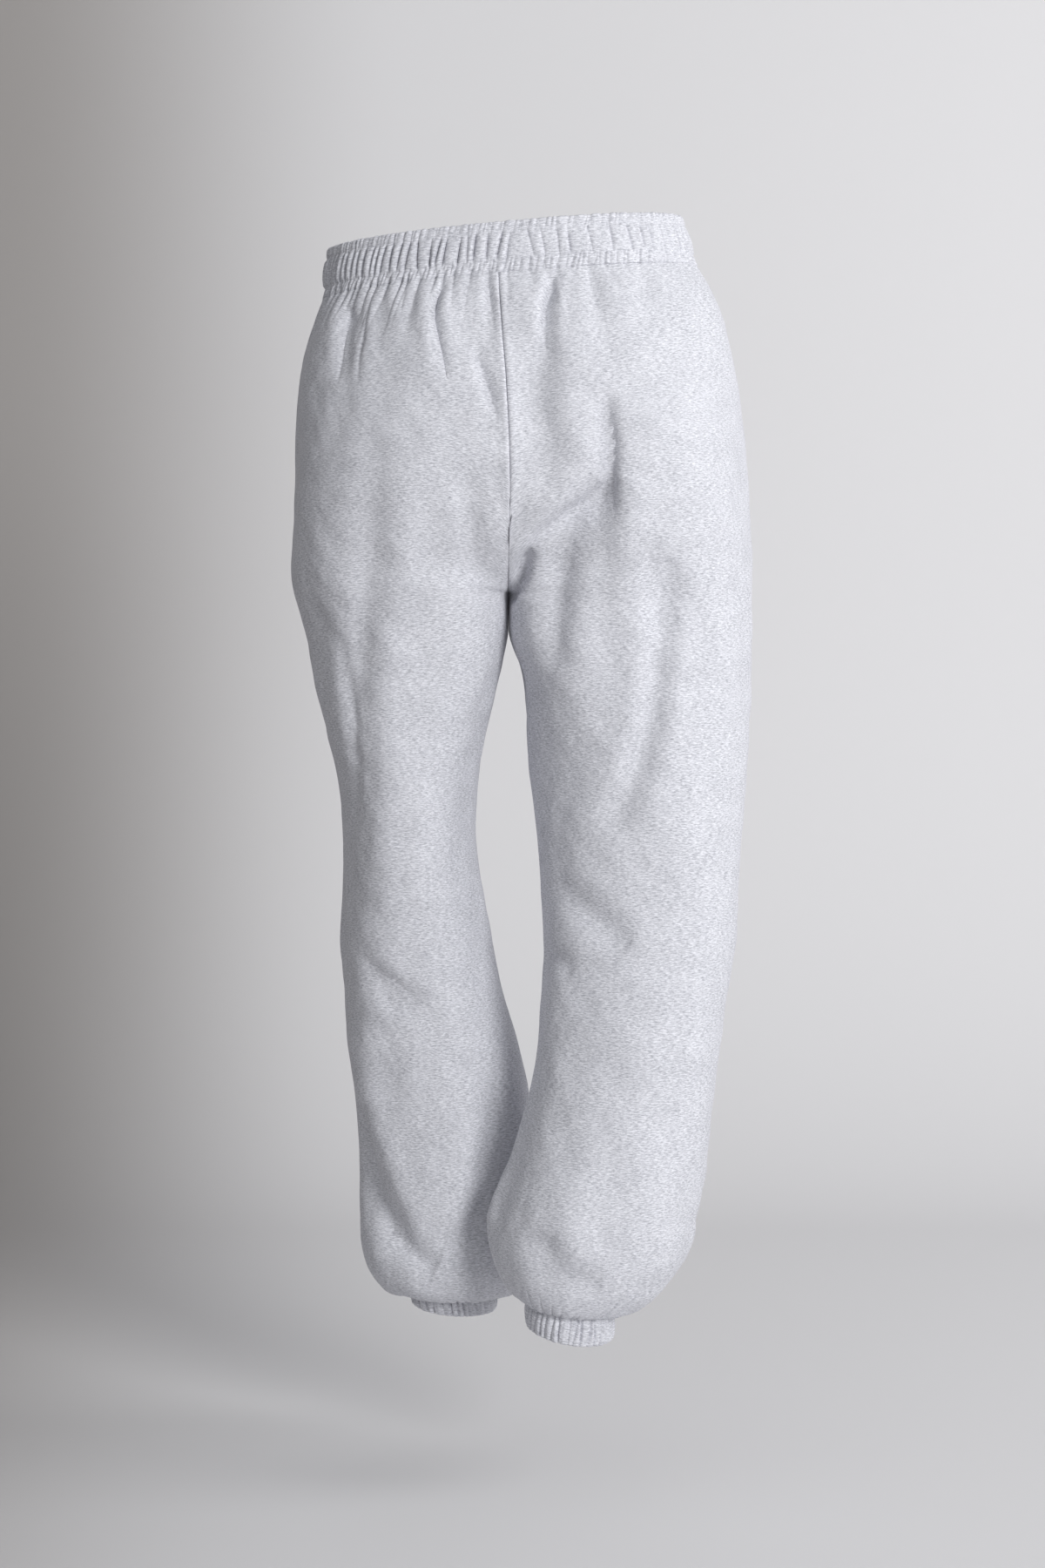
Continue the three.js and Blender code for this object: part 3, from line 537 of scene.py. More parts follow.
def add_folds(panels):
    normals = panel_normals(panels)
    for name, panel in panels.items():
        points, n = panel["points"], normals[name]
        x, z = points[..., 0], points[..., 2]
        behind = n[..., 1] > 0
        press = np.where(behind, press_along(BACK_FOLDS, x, z), press_along(FRONT_FOLDS, x, z))
        press += np.where(behind, press_along(BACK_CREASES, x, z, True) + press_laps(BACK_LAPS, x, z), 0)
        moved = points - n * (press * fold_weight(panel, n))[..., None]
        panel["points"] = parted_at_centre(panel["half"], moved)


# Gathers: rounded pleats parted by sharp creases

GATHER_SEED = 11
CREASE_WIDTH = 0.8
PITCH_SPREAD = (0.6, 1.4)  # how uneven the distances between the creases are
LEAN_SPREAD = 0.06
FULLNESS_SPREAD = (0.55, 1.0)
CREASE_SPREAD, FULL_CREASE = (0.15, 1.0), 0.7
CREASE_MIDDLE_SPREAD = 5
CREASE_REACH = (9, 17)
ROUND_PLEAT, SOFT_PLEAT = 0.55, 0.75  # power of a pleat's round section: 1 is a plain wave


class Pleats:
    """Pleats round a ring, parted by creases at uneven places, each with its own lean and height."""

    def __init__(self, length, pitch_at, lean_at, seed, rise, most, weight_at=None):
        rng = np.random.default_rng(seed)
        places, at = [], 0.0
        while at < length:
            places.append(at)
            at += pitch_at(at / length) * rng.uniform(*PITCH_SPREAD)
        places = np.array(places) * length / at
        count = len(places)
        shares = places / length
        weight = np.array([weight_at(share) if weight_at else 1.0 for share in shares])
        self.length, self.rise, self.most = length, rise, most
        self.places = places
        self.lean = np.array([lean_at(share) for share in shares]) + rng.normal(0, LEAN_SPREAD, count)
        self.strength = rng.uniform(*FULLNESS_SPREAD, count) * weight
        self.fade = rng.uniform(0, 1, count)
        shallowest = np.where(weight > 1, FULL_CREASE, 0)
        self.deep = np.maximum(rng.uniform(*CREASE_SPREAD, count), shallowest) * weight
        self.centre = rng.normal(0, CREASE_MIDDLE_SPREAD, count)
        self.reach = rng.uniform(*CREASE_REACH, count)

    def at(self, s, up, sharpness=ROUND_PLEAT):
        """Height, fade and crease depth at places round the ring, at a height above the casing's middle."""
        lines = self.places + self.lean * up
        order = np.argsort(lines)
        deep = (self.deep * np.exp(-((up - self.centre) / self.reach) ** 4))[order]
        lines, strength, fade = lines[order], self.strength[order], self.fade[order]
        lines = np.concatenate([lines[-1:] - self.length, lines, lines[:1] + self.length])
        strength, fade, deep = (np.concatenate([v[-1:], v, v[:1]]) for v in (strength, fade, deep))
        s = np.mod(s - lines[0], self.length) + lines[0]
        i = np.clip(np.searchsorted(lines, s, side="right") - 1, 0, len(lines) - 2)
        gap = np.maximum(lines[i + 1] - lines[i], 0.05)
        t = np.clip((s - lines[i]) / gap, 0, 1)
        height = np.minimum(self.rise * gap, self.most) * strength[i]
        before = deep[i] * np.exp(-t * gap / CREASE_WIDTH)
        after = deep[i + 1] * np.exp(-(1 - t) * gap / CREASE_WIDTH)
        return height * np.sin(math.pi * t) ** sharpness, fade[i], np.maximum(before, after)


def band_length():
    return sum(runs(*[v[None] for v in band_half(half, 0)])[0, -1] for half in HALVES.values())


def band_half(half, up):
    """The waistband's line on one side at a height above its foot, from the front round to the back."""
    z = BAND_FOOT - 0.5
    top = BAND_TOP[half["side"]]
    mix = up / BAND_HEIGHT
    outer = half["outer"](z) + (top - half["outer"](z)) * mix
    front = half["front"](z) + (BAND_TOP["front"] - half["front"](z)) * mix
    back = half["back"](z) + (BAND_TOP["back"] - half["back"](z)) * mix
    fx, fy = quarter(0, outer, LOBE_SHARE(z), 0, -front, 1)
    bx, by = quarter(0, outer, LOBE_SHARE(z), 0, back, 1)
    return half["sign"] * np.concatenate([fx, bx[-2::-1]]), np.concatenate([fy, by[-2::-1]])


BAND_LENGTH = band_length()


def around(shares, values):
    """A value that changes round the waistband, by the share of the way over the wearer's left."""
    return lambda share: float(np.interp(share, shares, values))


# Distances between the creases, their leans, and how full the pleats are, round from the centre back
band_pitch = around([0, 0.08, 0.2, 0.35, 0.5, 0.68, 0.8, 0.92, 1], [11, 9, 5.5, 7, 8, 8, 11, 16, 14])
band_lean = around([0, 0.25, 0.5, 0.75, 1], [-0.14, -0.1, 0, 0.1, 0.14])
band_weight = around([0, 0.08, 0.25, 0.5, 0.75, 0.92, 1], [0.8, 1, 1.15, 1, 0.9, 0.5, 0.7])
fine_pitch = around([0, 0.2, 0.5, 0.8, 1], [5.0, 4.0, 4.6, 5.5, 6.0])
gather_pitch = around([0, 0.12, 0.25, 0.5, 0.75, 0.9, 1], [13, 9, 9, 11, 12, 16, 15])
gather_lean = around([0, 0.25, 0.5, 0.75, 1], [-0.05, -0.05, 0, 0.1, 0.06])
gather_weight = around([0, 0.1, 0.25, 0.5, 0.75, 0.88, 1], [0.7, 1.3, 1.4, 1.1, 0.9, 0.35, 0.6])
FINE_LEAN = -0.25

CHANNEL_PLEATS = Pleats(BAND_LENGTH, band_pitch, band_lean, GATHER_SEED, rise=0.6, most=3.0,
                        weight_at=band_weight)
FINE_PLEATS = Pleats(BAND_LENGTH, fine_pitch, lambda share: FINE_LEAN, GATHER_SEED + 1, rise=0.4, most=1.5)
GATHERS = Pleats(BAND_LENGTH, gather_pitch, gather_lean, GATHER_SEED + 2, rise=0.36, most=3.6,
                 weight_at=gather_weight)
CHANNEL_MEAN, FINE_MEAN, GATHER_MEAN = 1.8, 0.8, 1.8
GATHERS_END = 90  # distance below the waistband where the gathers have gone
GATHER_REACH, GATHER_REACH_SPREAD = 10, 20
FINE_REACH, FINE_REACH_SPREAD = 2.5, 4
GATHER_CREASE, GATHER_CREASE_REACH = 0.8, 12
TUCKED_TOP, TUCK_REACH = 0.5, 1.5  # how far a panel's top edge is drawn in under the waistband


def gathers_below_band(panel):
    """The pleats that run down from the waistband's seam into a panel and die away."""
    sign = panel["half"]["sign"]
    seam = SEAM_BACK(BAND_FOOT)
    s = seam + sign * (1 - panel["round_top"]) * panel["whole_top"]
    below = np.maximum(BAND_FOOT - panel["base"][..., 2], 0)
    mean = GATHER_MEAN * np.array([gather_weight(share) for share in np.mod(s, BAND_LENGTH) / BAND_LENGTH])
    raised = np.zeros(below.shape)
    for i in np.flatnonzero(below[:, 0] < GATHERS_END):
        depth = below[i]
        level = float(depth.mean())
        wide, wide_fade, crease = GATHERS.at(s, -level, SOFT_PLEAT)
        fine, fine_fade, _ = FINE_PLEATS.at(s, -level)
        wide_reach = GATHER_REACH + GATHER_REACH_SPREAD * wide_fade
        fine_reach = FINE_REACH + FINE_REACH_SPREAD * fine_fade
        raised[i] = (wide - mean) * np.exp(-(depth / wide_reach) ** 1.2)
        raised[i] -= GATHER_CREASE * crease * np.exp(-(depth / GATHER_CREASE_REACH) ** 2)
        raised[i] += (fine - FINE_MEAN) * np.exp(-depth / fine_reach)
        raised[i] -= TUCKED_TOP * mean / GATHER_MEAN * np.exp(-(depth / TUCK_REACH) ** 2)
    return raised


HEM_ROUND = 500.0  # distance round the leg at the hem
HEM_PITCH = 12.0
HEM_MEAN, HEM_CREASE = 1.9, 2.6


def hem_gathers(panel, seed):
    """The pleats over the hem's roll, deepest where the leg is sewn to the cuff."""
    pleats = Pleats(HEM_ROUND, lambda share: HEM_PITCH, lambda share: 0.0, seed, rise=0.28, most=3.4)
    s = panel["round_hem"] * HEM_ROUND
    wide, fade, crease = pleats.at(s, 0.0)
    share = panel["hem_share"][:, None]
    grown = smoothstep(0.45, 1.0, share + 0.3 * (fade[None] - 0.5))
    return (wide[None] - HEM_MEAN - HEM_CREASE * crease[None]) * grown * np.where(share < 1, 1, 0)


# Unevenness of worn cloth, as a sum of long waves

def waves(points, seed, count, shortest, longest, height):
    rng = np.random.default_rng(seed)
    total = np.zeros(points.shape[:-1])
    for _ in range(count):
        direction = rng.normal(size=3) * np.array([1.0, 1.0, 0.6])
        direction /= np.linalg.norm(direction)
        length = math.exp(rng.uniform(math.log(shortest), math.log(longest)))
        total += np.sin(points @ direction * (2 * math.pi / length) + rng.uniform(0, 2 * math.pi)) * length
    return total * height / (longest * math.sqrt(count))


def edge_distance(points):
    """How far each point lies from its panel's first and last columns, along the row."""
    steps = np.linalg.norm(np.diff(points, axis=1), axis=-1)
    run = np.concatenate([np.zeros((len(points), 1)), np.cumsum(steps, 1)], 1)
    return run, run[:, -1:] - run


SEAM_DIP, SEAM_DIP_WIDTH = 1.0, 0.8
SEAM_PUFF, SEAM_PUFF_AT, SEAM_PUFF_WIDTH = 0.4, 3.6, 2.4
STRIP_RISE, STRIP_WIDTH = 0.4, 8.5
LONG_WAVES = dict(seed=5, count=26, shortest=34, longest=130, height=2.6)
SHORT_WAVES = dict(seed=6, count=26, shortest=12, longest=34, height=0.5)
CALM_EDGE = 14  # width beside a seam where the cloth is less uneven
WAVES_FADE, WAVES_FREE = 0.3, 20  # where the waves fade at the hem and below the waistband
HEM_SEED = 31


def seam_form(panel, from_first, from_last):
    """Height of the cloth beside its seams: a groove at the edge and a soft roll beside it."""
    near = np.minimum(from_first, from_last)
    form = -SEAM_DIP * np.exp(-(near / SEAM_DIP_WIDTH) ** 2)
    form += SEAM_PUFF * np.exp(-((near - SEAM_PUFF_AT) / SEAM_PUFF_WIDTH) ** 2)
    if not panel["is_front"] and panel["half"]["side"] == "left":
        rows = smoothstep(CROTCH, CROTCH + 60, panel["base"][..., 2])
        strip = smoothstep(STRIP_WIDTH + 2.5, STRIP_WIDTH - 1.0, from_last)
        form += rows * STRIP_RISE * strip * smoothstep(0, 0.9, from_last)
    return form


def add_fine_form(panels):
    normals = panel_normals(panels)
    for name, panel in panels.items():
        points, n = panel["points"], normals[name]
        from_first, from_last = edge_distance(points)
        near = np.minimum(from_first, from_last)
        at_hem = np.clip((1 - panel["hem_share"]) / WAVES_FADE, 0, 1)[:, None]
        below = np.clip((BAND_FOOT - panel["base"][..., 2]) / WAVES_FREE, 0, 1)
        raised = (waves(points, **LONG_WAVES) + waves(points, **SHORT_WAVES)) * at_hem * below
        raised = raised * (0.35 + 0.65 * smoothstep(0, CALM_EDGE, near))
        raised += gathers_below_band(panel) * (0.25 + 0.75 * smoothstep(0, 3, near))
        raised += hem_gathers(panel, HEM_SEED + (panel["half"]["side"] == "right"))
        raised += seam_form(panel, from_first, from_last)
        moved = points + n * raised[..., None]
        panel["points"] = parted_at_centre(panel["half"], moved)


# Meshes

def bridge(fine, coarse, fine_places, coarse_places):
    """Triangles between two lines of points, one finer than the other, by their places."""
    faces = []
    i = j = 0
    while i < len(fine) - 1 or j < len(coarse) - 1:
        next_fine = fine_places[i + 1] if i < len(fine) - 1 else np.inf
        next_coarse = coarse_places[j + 1] if j < len(coarse) - 1 else np.inf
        if next_fine <= next_coarse:
            faces.append((fine[i], fine[i + 1], coarse[j]))
            i += 1
        else:
            faces.append((fine[i], coarse[j + 1], coarse[j]))
            j += 1
    return faces


def kept(count, every):
    """Indices that keep one point in every few, with the first and the last."""
    return np.unique(np.append(np.arange(0, count, every), count - 1))


def grid_faces(index, flipped):
    a, b, c, d = index[:-1, :-1], index[1:, :-1], index[1:, 1:], index[:-1, 1:]
    corners = [a, d, c, b] if flipped else [a, b, c, d]
    return np.stack(corners, -1).reshape(-1, 4).tolist()


def wall_mesh(name, outer, inner, rows, columns, uv, flipped):
    """A closed wall: a fine outer grid, a coarse inner one and a strip along each of their edges."""
    fine = np.arange(outer.shape[0] * outer.shape[1]).reshape(outer.shape[:2])
    coarse = fine.size + np.arange(len(rows) * len(columns)).reshape(len(rows), len(columns))
    faces = grid_faces(fine, flipped) + grid_faces(coarse, not flipped)
    row_places, column_places = np.arange(outer.shape[0]), np.arange(outer.shape[1])
    strips = [
        (fine[0], coarse[0], column_places, columns, flipped),
        (fine[-1], coarse[-1], column_places, columns, not flipped),
        (fine[:, 0], coarse[:, 0], row_places, rows, not flipped),
        (fine[:, -1], coarse[:, -1], row_places, rows, flipped),
    ]
    for line, inner_line, places, inner_places, turned in strips:
        made = bridge(line.tolist(), inner_line.tolist(), places, inner_places)
        faces += [face[::-1] for face in made] if turned else made
    points = np.concatenate([outer.reshape(-1, 3), inner.reshape(-1, 3)])
    uvs = np.concatenate([uv.reshape(-1, 2), uv[np.ix_(rows, columns)].reshape(-1, 2)])
    return mesh_object(name, points, faces, uvs)


def mesh_object(name, points, faces, uvs=None):
    mesh = bpy.data.meshes.new(name)
    mesh.from_pydata((points * MM).tolist(), [], faces)
    mesh.polygons.foreach_set("use_smooth", [True] * len(mesh.polygons))
    if uvs is not None:
        corners = np.empty(len(mesh.loops), dtype=np.int32)
        mesh.loops.foreach_get("vertex_index", corners)
        layer = mesh.uv_layers.new(name="UVMap")
        layer.data.foreach_set("uv", (uvs[corners] * MM).ravel())
    mesh.update()
    piece = bpy.data.objects.new(name, mesh)
    bpy.context.scene.collection.objects.link(piece)
    return piece


def panel_uv(points):
    """Flat places on the cloth, in millimetres: across from the middle of the panel, and down."""
    run, _ = edge_distance(points)
    u = run - run[:, -1:] / 2
    middle = points[:, points.shape[1] // 2]
    v = np.concatenate([[0], np.cumsum(np.linalg.norm(np.diff(middle, axis=0), axis=-1))])
    return np.stack([u, np.broadcast_to(-v[:, None], u.shape)], -1)


INSIDE_DEEPER = 0.8  # room for the fine form's hollows inside the wall


def make_panels():
    panels = {}
    for side, half in HALVES.items():
        panels[f"front_{side}"] = panel_grid(half, True)
        panels[f"back_{side}"] = panel_grid(half, False)
    add_folds(panels)
    inside = {name: panel["points"] for name, panel in panels.items()}
    inside_normals = panel_normals(panels)
    add_fine_form(panels)
    made = {}
    for name, panel in panels.items():
        outer = panel["points"]
        rows, columns = kept(outer.shape[0], INNER_EVERY), kept(outer.shape[1], INNER_EVERY)
        inner = (inside[name] - inside_normals[name] * (CLOTH + INSIDE_DEEPER))[np.ix_(rows, columns)]
        flipped = panel["half"]["sign"] > 0
        made[name] = wall_mesh(f"cloth_{name}", outer, inner, rows, columns, panel_uv(outer), not flipped)
    return made


# Casings: the waistband and the cuffs

def ring_mesh(name, rings, uv):
    """A closed tube through rings of points that lead round its cross-section."""
    rings = np.asarray(rings)
    count, columns = rings.shape[:2]
    index = np.arange(count * columns).reshape(count, columns)
    index = np.concatenate([index, index[:1]], 0)
    index = np.concatenate([index, index[:, :1]], 1)
    faces = grid_faces(index, False)
    return mesh_object(name, rings.reshape(-1, 3), faces, uv.reshape(-1, 2))


def band_ring(up):
    """The waistband's line, evenly spaced, with outward directions and distances from the centre back."""
    lx, ly = band_half(HALVES["left"], up)
    rx, ry = band_half(HALVES["right"], up)
    x = np.concatenate([lx[::-1], rx[1:]])
    y = np.concatenate([ly[::-1], ry[1:]])
    run = runs(x[None], y[None])[0]
    places = np.arange(BAND_COLUMNS) / BAND_COLUMNS * run[-1]
    px, py = np.interp(places, run, x), np.interp(places, run, y)
    dx, dy = np.roll(px, -1) - np.roll(px, 1), np.roll(py, -1) - np.roll(py, 1)
    size = np.hypot(dx, dy)
    return px, py, -dy / size, dx / size, places / run[-1] * BAND_LENGTH


STITCH_ROWS = (8.5, 34.5)  # heights of the two rows of sewing above the waistband's foot
CHANNEL_BULGE = 1.6
CREASE_DEPTH = 5.0
FINE_CREASE_DEPTH = 1.3
STITCH_DIP = 0.8
STITCH_DIP_WIDTH = 1.3
TOP_ROUND = 1.7
FOOT_LAP = 1.2  # how far the foot laps over the panels
FOOT_LIP, FOOT_LIP_REACH = 0.6, 0.8  # how far its lowest edge turns in, and over what height
SCALLOPS = 0.7  # how far the fine pleats stand up along the top
BAND_INSIDE, CUFF_INSIDE = 0.55, 0.4  # share of the pleats' height that shows on the inside


def casing_dip(up, rows):
    return sum(np.exp(-((up - row) / STITCH_DIP_WIDTH) ** 2) for row in rows)


def casing_uv(profile, s):
    """Flat places on a casing: round it, and along its cross-section."""
    steps = [math.dist(here[:2], there[:2]) for here, there in zip(profile, profile[1:])]
    v = np.concatenate([[0], np.cumsum(steps)])
    return np.stack(np.broadcast_arrays(s[None], v[:, None]), -1)


def band_out(up, s):
    """How far the waistband's face stands out from its sewn edge."""
    low, high = STITCH_ROWS
    share = np.clip((up - low) / (high - low), 0, 1)
    dip = casing_dip(up, STITCH_ROWS)
    channel = smoothstep(0, 0.14, share) * smoothstep(1, 0.86, share)
    foot = smoothstep(low, 0, up)
    wide, _, crease = CHANNEL_PLEATS.at(s, up - BAND_HEIGHT / 2)
    fine, _, fine_crease = FINE_PLEATS.at(s, up)
    gathered, _, gather_crease = GATHERS.at(s, up, SOFT_PLEAT)
    weight = np.array([band_weight(share) for share in s / BAND_LENGTH])
    fullness = np.array([gather_weight(share) for share in s / BAND_LENGTH])
    out = CHANNEL_BULGE * math.sin(math.pi * share) - STITCH_DIP * dip
    out = out + (wide - CHANNEL_MEAN * weight) * (0.3 + 0.7 * channel) * (1 - 0.7 * dip) * (1 - foot)
    out = out - CREASE_DEPTH * crease * (0.25 + 0.75 * channel) * (1 - foot)
    gathered = gathered - GATHER_MEAN * fullness - GATHER_CREASE * gather_crease
    out = out + gathered * foot * (1 - 0.7 * dip)
    out = out + (fine - FINE_MEAN) * (1 - 0.85 * channel) * (1 - 0.5 * dip)
    out = out - FINE_CREASE_DEPTH * fine_crease * (1 - channel) * (1 - foot)
    return out - FOOT_LIP * (0.2 + fullness) * np.exp(-((up + FOOT_LAP) / FOOT_LIP_REACH) ** 2)


def make_waistband():
    shoulder = BAND_HEIGHT - TOP_ROUND
    half_wall = BAND_WALL / 2
    face = [-FOOT_LAP, -FOOT_LAP / 2] + list(np.arange(0, shoulder, 1.0)) + [shoulder]
    profile = [(up, 0.0, 1.0) for up in face]
    profile += [(shoulder + TOP_ROUND * math.sin(t), -half_wall + half_wall * math.cos(t), 1.0)
                for t in np.linspace(0, math.pi, 7)[1:]]
    profile += [(up, -BAND_WALL, BAND_INSIDE) for up in np.linspace(shoulder, 0, 6)[1:]]
    rings = []
    for up, inward, share in profile:
        x, y, nx, ny, s = band_ring(min(max(up, 0), BAND_HEIGHT))
        out = band_out(up, s) * share + inward
        px, py = x + nx * out, y + ny * out
        fine, _, fine_crease = FINE_PLEATS.at(s, up)
        scallop = SCALLOPS * (fine - FINE_MEAN - fine_crease) * smoothstep(STITCH_ROWS[1], BAND_HEIGHT, up)
        rings.append(np.stack([px, py, BAND_FOOT + up + scallop - WAIST_ROLL * px], -1))
    uv = casing_uv(profile, s)
    return ring_mesh("cloth_waistband", rings, uv)


CUFF_STITCH = 21.0
CUFF_BULGE = 1.2
CUFF_ROUND = 250.0  # distance round a cuff
CUFF_PITCH, CUFF_LEAN, CUFF_MEAN, CUFF_CREASE = 8.0, -0.18, 1.3, 3
CUFF_FINE_PITCH, CUFF_FINE_LEAN, CUFF_FINE_MEAN, CUFF_FINE_SHARE = 4.2, -0.1, 0.4, 0.7
CUFF_RIM = 0.3  # how far the upper edge stays below the seam


def make_cuff(side, half, seed):
    pleats = Pleats(CUFF_ROUND, lambda share: CUFF_PITCH, lambda share: CUFF_LEAN, seed, rise=0.42,
                    most=2.2)
    fine = Pleats(CUFF_ROUND, lambda share: CUFF_FINE_PITCH, lambda share: CUFF_FINE_LEAN, seed + 1,
                  rise=0.22, most=0.9)
    share = np.arange(CUFF_COLUMNS) / CUFF_COLUMNS
    s = share * CUFF_ROUND
    top = CUFF_HEIGHT - CUFF_RIM
    half_wall = CUFF_WALL / 2
    profile = [(half_wall - half_wall * math.cos(t), -half_wall + half_wall * math.sin(t), 1.0)
               for t in np.linspace(0, QUARTER, 5)[:-1]]
    profile += [(up, 0.0, 1.0) for up in np.linspace(half_wall, top, 22)]
    profile += [(up, -CUFF_WALL, CUFF_INSIDE) for up in np.linspace(top, half_wall, 9)]
    rings = []
    for up, inward, weight in profile:
        wide, _, crease = pleats.at(s, up - CUFF_HEIGHT / 2)
        thin, _, _ = fine.at(s, up)
        at = min(max(up / CUFF_STITCH, 0), 1)
        dip = casing_dip(up, (CUFF_STITCH,))
        out = CUFF_BULGE * math.sin(math.pi * at) - STITCH_DIP * dip + (wide - CUFF_MEAN)
        out = out + (thin - CUFF_FINE_MEAN) * CUFF_FINE_SHARE - CUFF_CREASE * crease
        grow = out * weight + inward
        ring = cuff_points(half, share, grow)
        ring[:, 2] += up - CUFF_HEIGHT
        rings.append(ring if half["sign"] > 0 else ring[::-1])
    uv = casing_uv(profile, s)
    return ring_mesh(f"cloth_cuff_{side}", rings[::-1], uv[::-1])


# Materials

def node(tree, kind, place, **values):
    made = tree.nodes.new(kind)
    made.location = place
    for name, value in values.items():
        setattr(made, name, value)
    return made


def set_inputs(made, values):
    for name, value in values.items():
        made.inputs[name].default_value = value


def fleece_material():
    """Brushed fleece in a light grey melange: short streaks along the courses and a soft nap."""
    material = bpy.data.materials.new("grey_fleece")
    material.use_nodes = True
    tree = material.node_tree
    tree.nodes.clear()
    link = tree.links.new
    output = node(tree, "ShaderNodeOutputMaterial", (900, 0))
    shader = node(tree, "ShaderNodeBsdfPrincipled", (600, 0))
    link(shader.outputs["BSDF"], output.inputs["Surface"])
    set_inputs(shader, {"Specular IOR Level": 0.15, "Sheen Weight": 0.2, "Sheen Roughness": 0.5,
                        "Sheen Tint": (0.93, 0.93, 0.97, 1)})
    uv = node(tree, "ShaderNodeUVMap", (-1300, 0), uv_map="UVMap")

    def streaks(place, scale, detail, turn=0.0):
        mapping = node(tree, "ShaderNodeMapping", (-1100, place))
        set_inputs(mapping, {"Scale": (*scale, 1), "Rotation": (0, 0, turn)})
        noise = node(tree, "ShaderNodeTexNoise", (-900, place))
        set_inputs(noise, {"Scale": 1.0, "Detail": detail, "Roughness": 0.65, "Distortion": 0.15})
        link(uv.outputs["UV"], mapping.inputs["Vector"])
        link(mapping.outputs["Vector"], noise.inputs["Vector"])
        return noise.outputs["Fac"]

    short = streaks(300, (300, 1400), 2.0, 0.14)
    long = streaks(60, (160, 900), 2.0, -0.12)
    clouds = streaks(-180, (24, 40), 2.0)
    fibres = streaks(-420, (900, 1600), 3.0)

    def blend(place, first, second, factor):
        made = node(tree, "ShaderNodeMix", place, data_type="FLOAT")
        made.inputs["Factor"].default_value = factor
        link(first, made.inputs["A"])
        link(second, made.inputs["B"])
        return made.outputs["Result"]

    marks = blend((-650, 200), short, long, 0.45)
    tone = blend((-450, 100), marks, clouds, 0.08)
    ramp = node(tree, "ShaderNodeValToRGB", (-250, 150))
    ramp.color_ramp.elements[0].position = 0.38
    ramp.color_ramp.elements[0].color = (0.35, 0.356, 0.392, 1)
    ramp.color_ramp.elements[1].position = 0.60
    ramp.color_ramp.elements[1].color = (0.76, 0.765, 0.812, 1)
    link(tone, ramp.inputs["Fac"])
    link(ramp.outputs["Color"], shader.inputs["Base Color"])
    roughness = node(tree, "ShaderNodeMapRange", (-250, -120))
    set_inputs(roughness, {"To Min": 0.82, "To Max": 1.0})
    link(fibres, roughness.inputs["Value"])
    link(roughness.outputs["Result"], shader.inputs["Roughness"])
    nap = blend((-450, -300), fibres, marks, 0.35)
    bump = node(tree, "ShaderNodeBump", (300, -300))
    set_inputs(bump, {"Strength": 0.5, "Distance": 0.0006})
    link(nap, bump.inputs["Height"])
    link(bump.outputs["Normal"], shader.inputs["Normal"])
    return material


# The studio

FLOOR_HEIGHT = -1.076
CAMERA_PLACE = (-0.0125, 2.9, -0.327)
CAMERA_DIP = math.atan(180 / 3718)
CAMERA_LENS = 74.36


def make_camera():
    data = bpy.data.cameras.new("camera")
    data.lens = CAMERA_LENS
    data.sensor_width = 36
    camera = bpy.data.objects.new("camera", data)
    camera.location = CAMERA_PLACE
    camera.rotation_euler = (QUARTER - CAMERA_DIP, 0, math.pi)
    bpy.context.scene.collection.objects.link(camera)
    bpy.context.scene.camera = camera


def painted_shade_backdrop_material():
    """Matt backdrop with painted shade: its colour darkens towards +x, the side away from the key light, in
    place of the light's falloff and the shade on the wall.
    """
    material = bpy.data.materials.new("backdrop_painted_shade")
    material.use_nodes = True
    tree = material.node_tree
    shader = tree.nodes["Principled BSDF"]
    set_inputs(shader, {"Roughness": 0.9, "Specular IOR Level": 0.1})
    place = node(tree, "ShaderNodeTexCoord", (-900, 0))
    split = node(tree, "ShaderNodeSeparateXYZ", (-700, 0))
    span = node(tree, "ShaderNodeMapRange", (-500, 0), interpolation_type="SMOOTHSTEP")
    set_inputs(span, {"From Min": 0.14, "From Max": 0.78})
    ramp = node(tree, "ShaderNodeValToRGB", (-300, 0))
    # Painted shade: pale where x is low and dark where x is high, in place of the light falling off across
    # the wall
    ramp.color_ramp.elements[0].color = (0.72, 0.715, 0.725, 1)
    ramp.color_ramp.elements[1].color = (0.38, 0.362, 0.352, 1)
    tree.links.new(place.outputs["Object"], split.inputs["Vector"])
    tree.links.new(split.outputs["X"], span.inputs["Value"])
    tree.links.new(span.outputs["Result"], ramp.inputs["Fac"])
    tree.links.new(ramp.outputs["Color"], shader.inputs["Base Color"])
    return material


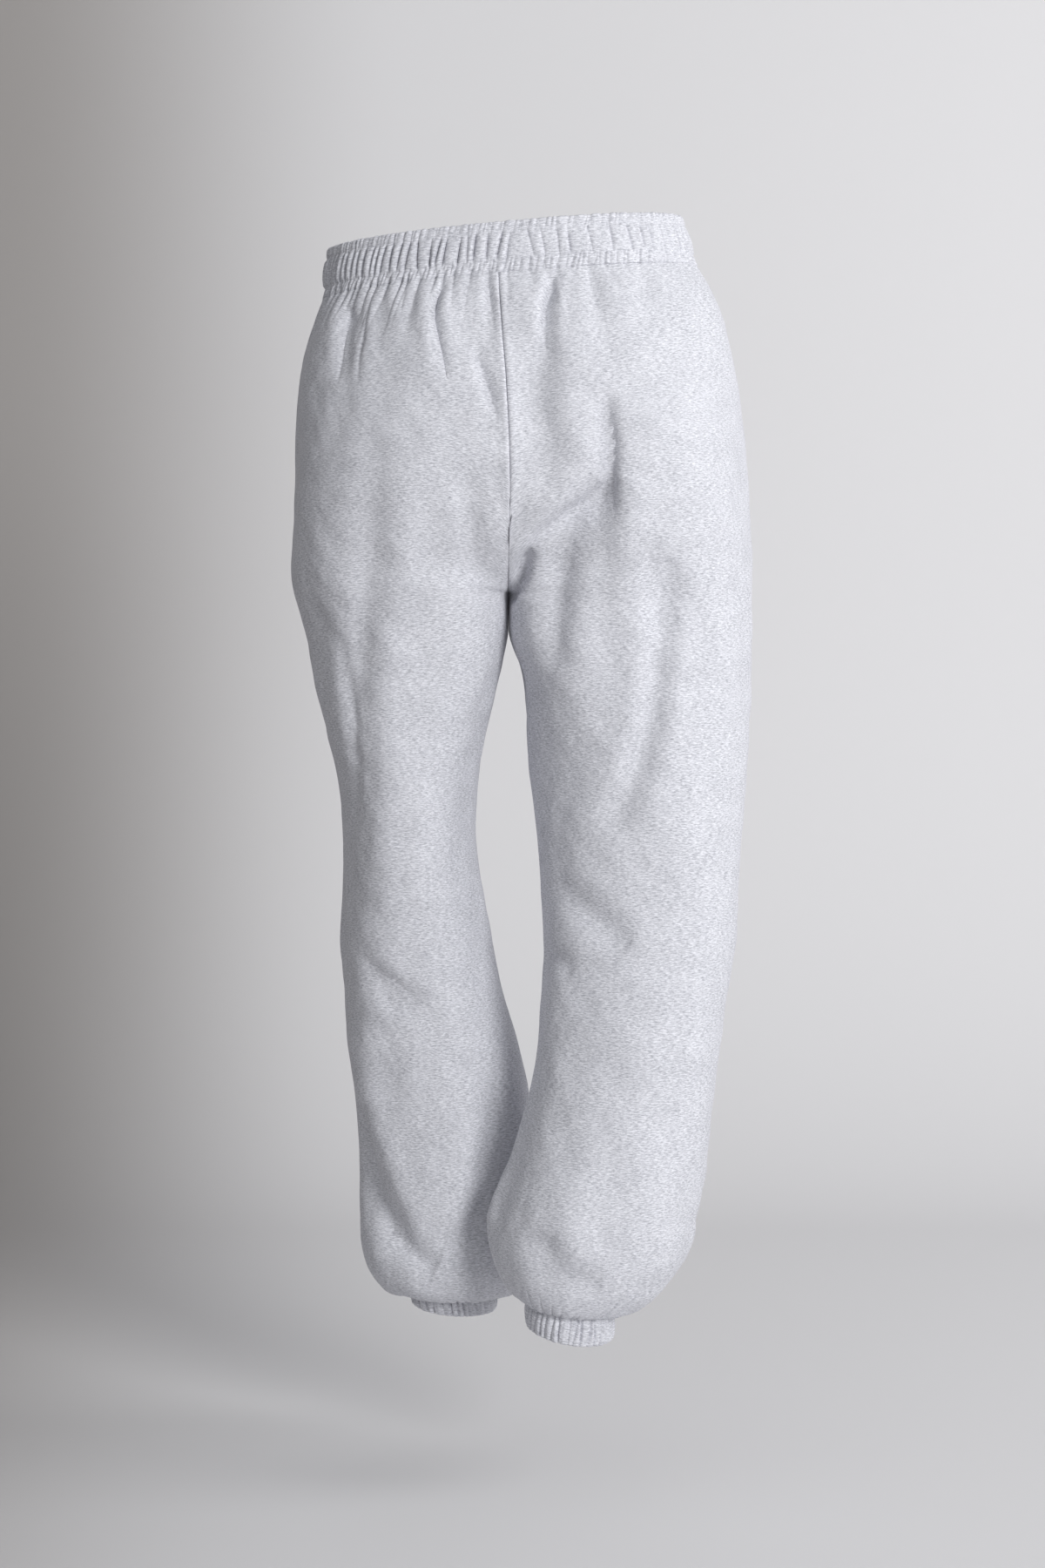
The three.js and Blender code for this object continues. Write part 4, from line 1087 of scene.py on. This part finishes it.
def make_stage():
    """A pale floor that curves up into a backdrop."""
    radius, depth, height, half_width = 0.8, 1.9, 4.5, 6.0
    profile = [(6.0, 0.0), (-depth + radius, 0.0)]
    profile += [(-depth + radius - radius * math.sin(t), radius - radius * math.cos(t))
                for t in np.linspace(0, QUARTER, 16)[1:]]
    profile += [(-depth, height)]
    points = [(x, y, FLOOR_HEIGHT + z) for y, z in profile for x in (-half_width, half_width)]
    faces = [(2 * i, 2 * i + 1, 2 * i + 3, 2 * i + 2) for i in range(len(profile) - 1)]
    stage = mesh_object("backdrop", np.array(points) / MM, faces)
    stage.data.materials.append(painted_shade_backdrop_material())


def area_light(name, place, target, size, power):
    data = bpy.data.lights.new(name, "AREA")
    data.shape = "DISK"
    data.size = size
    data.energy = power
    light = bpy.data.objects.new(name, data)
    light.location = place
    away = np.array(place) - np.array(target)
    flat = math.hypot(away[0], away[1])
    light.rotation_euler = (math.atan2(flat, away[2]), 0, math.atan2(away[0], -away[1]))
    bpy.context.scene.collection.objects.link(light)


def make_light():
    world = bpy.data.worlds.new("studio")
    world.use_nodes = True
    background = world.node_tree.nodes["Background"]
    set_inputs(background, {"Color": (0.97, 0.98, 1.0, 1), "Strength": 0.43})
    bpy.context.scene.world = world
    bpy.context.scene.view_settings.view_transform = "Standard"
    area_light("key", (-2.6, 4.5, 0.8), (0, 0, -0.5), 2.0, 190)
    area_light("wall", (-1.7, 0.2, 0.6), (-0.05, -1.9, -0.3), 1.2, 13)


def finish_piece(piece, material, nodes=()):
    piece.data.materials.append(material)
    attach(piece, "root")
    if nodes:
        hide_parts(*nodes)


make_camera()
make_stage()
make_light()
fleece = fleece_material()

for panel_name, panel_piece in make_panels().items():
    finish_piece(panel_piece, fleece, [panel_name])
finish_piece(make_waistband(), fleece, ["waistband"])
for number, (cuff_side, cuff_half) in enumerate(HALVES.items()):
    cuff_piece = make_cuff(cuff_side, cuff_half, 51 + 7 * number)
    finish_piece(cuff_piece, fleece, [f"cuff_{cuff_side}"])
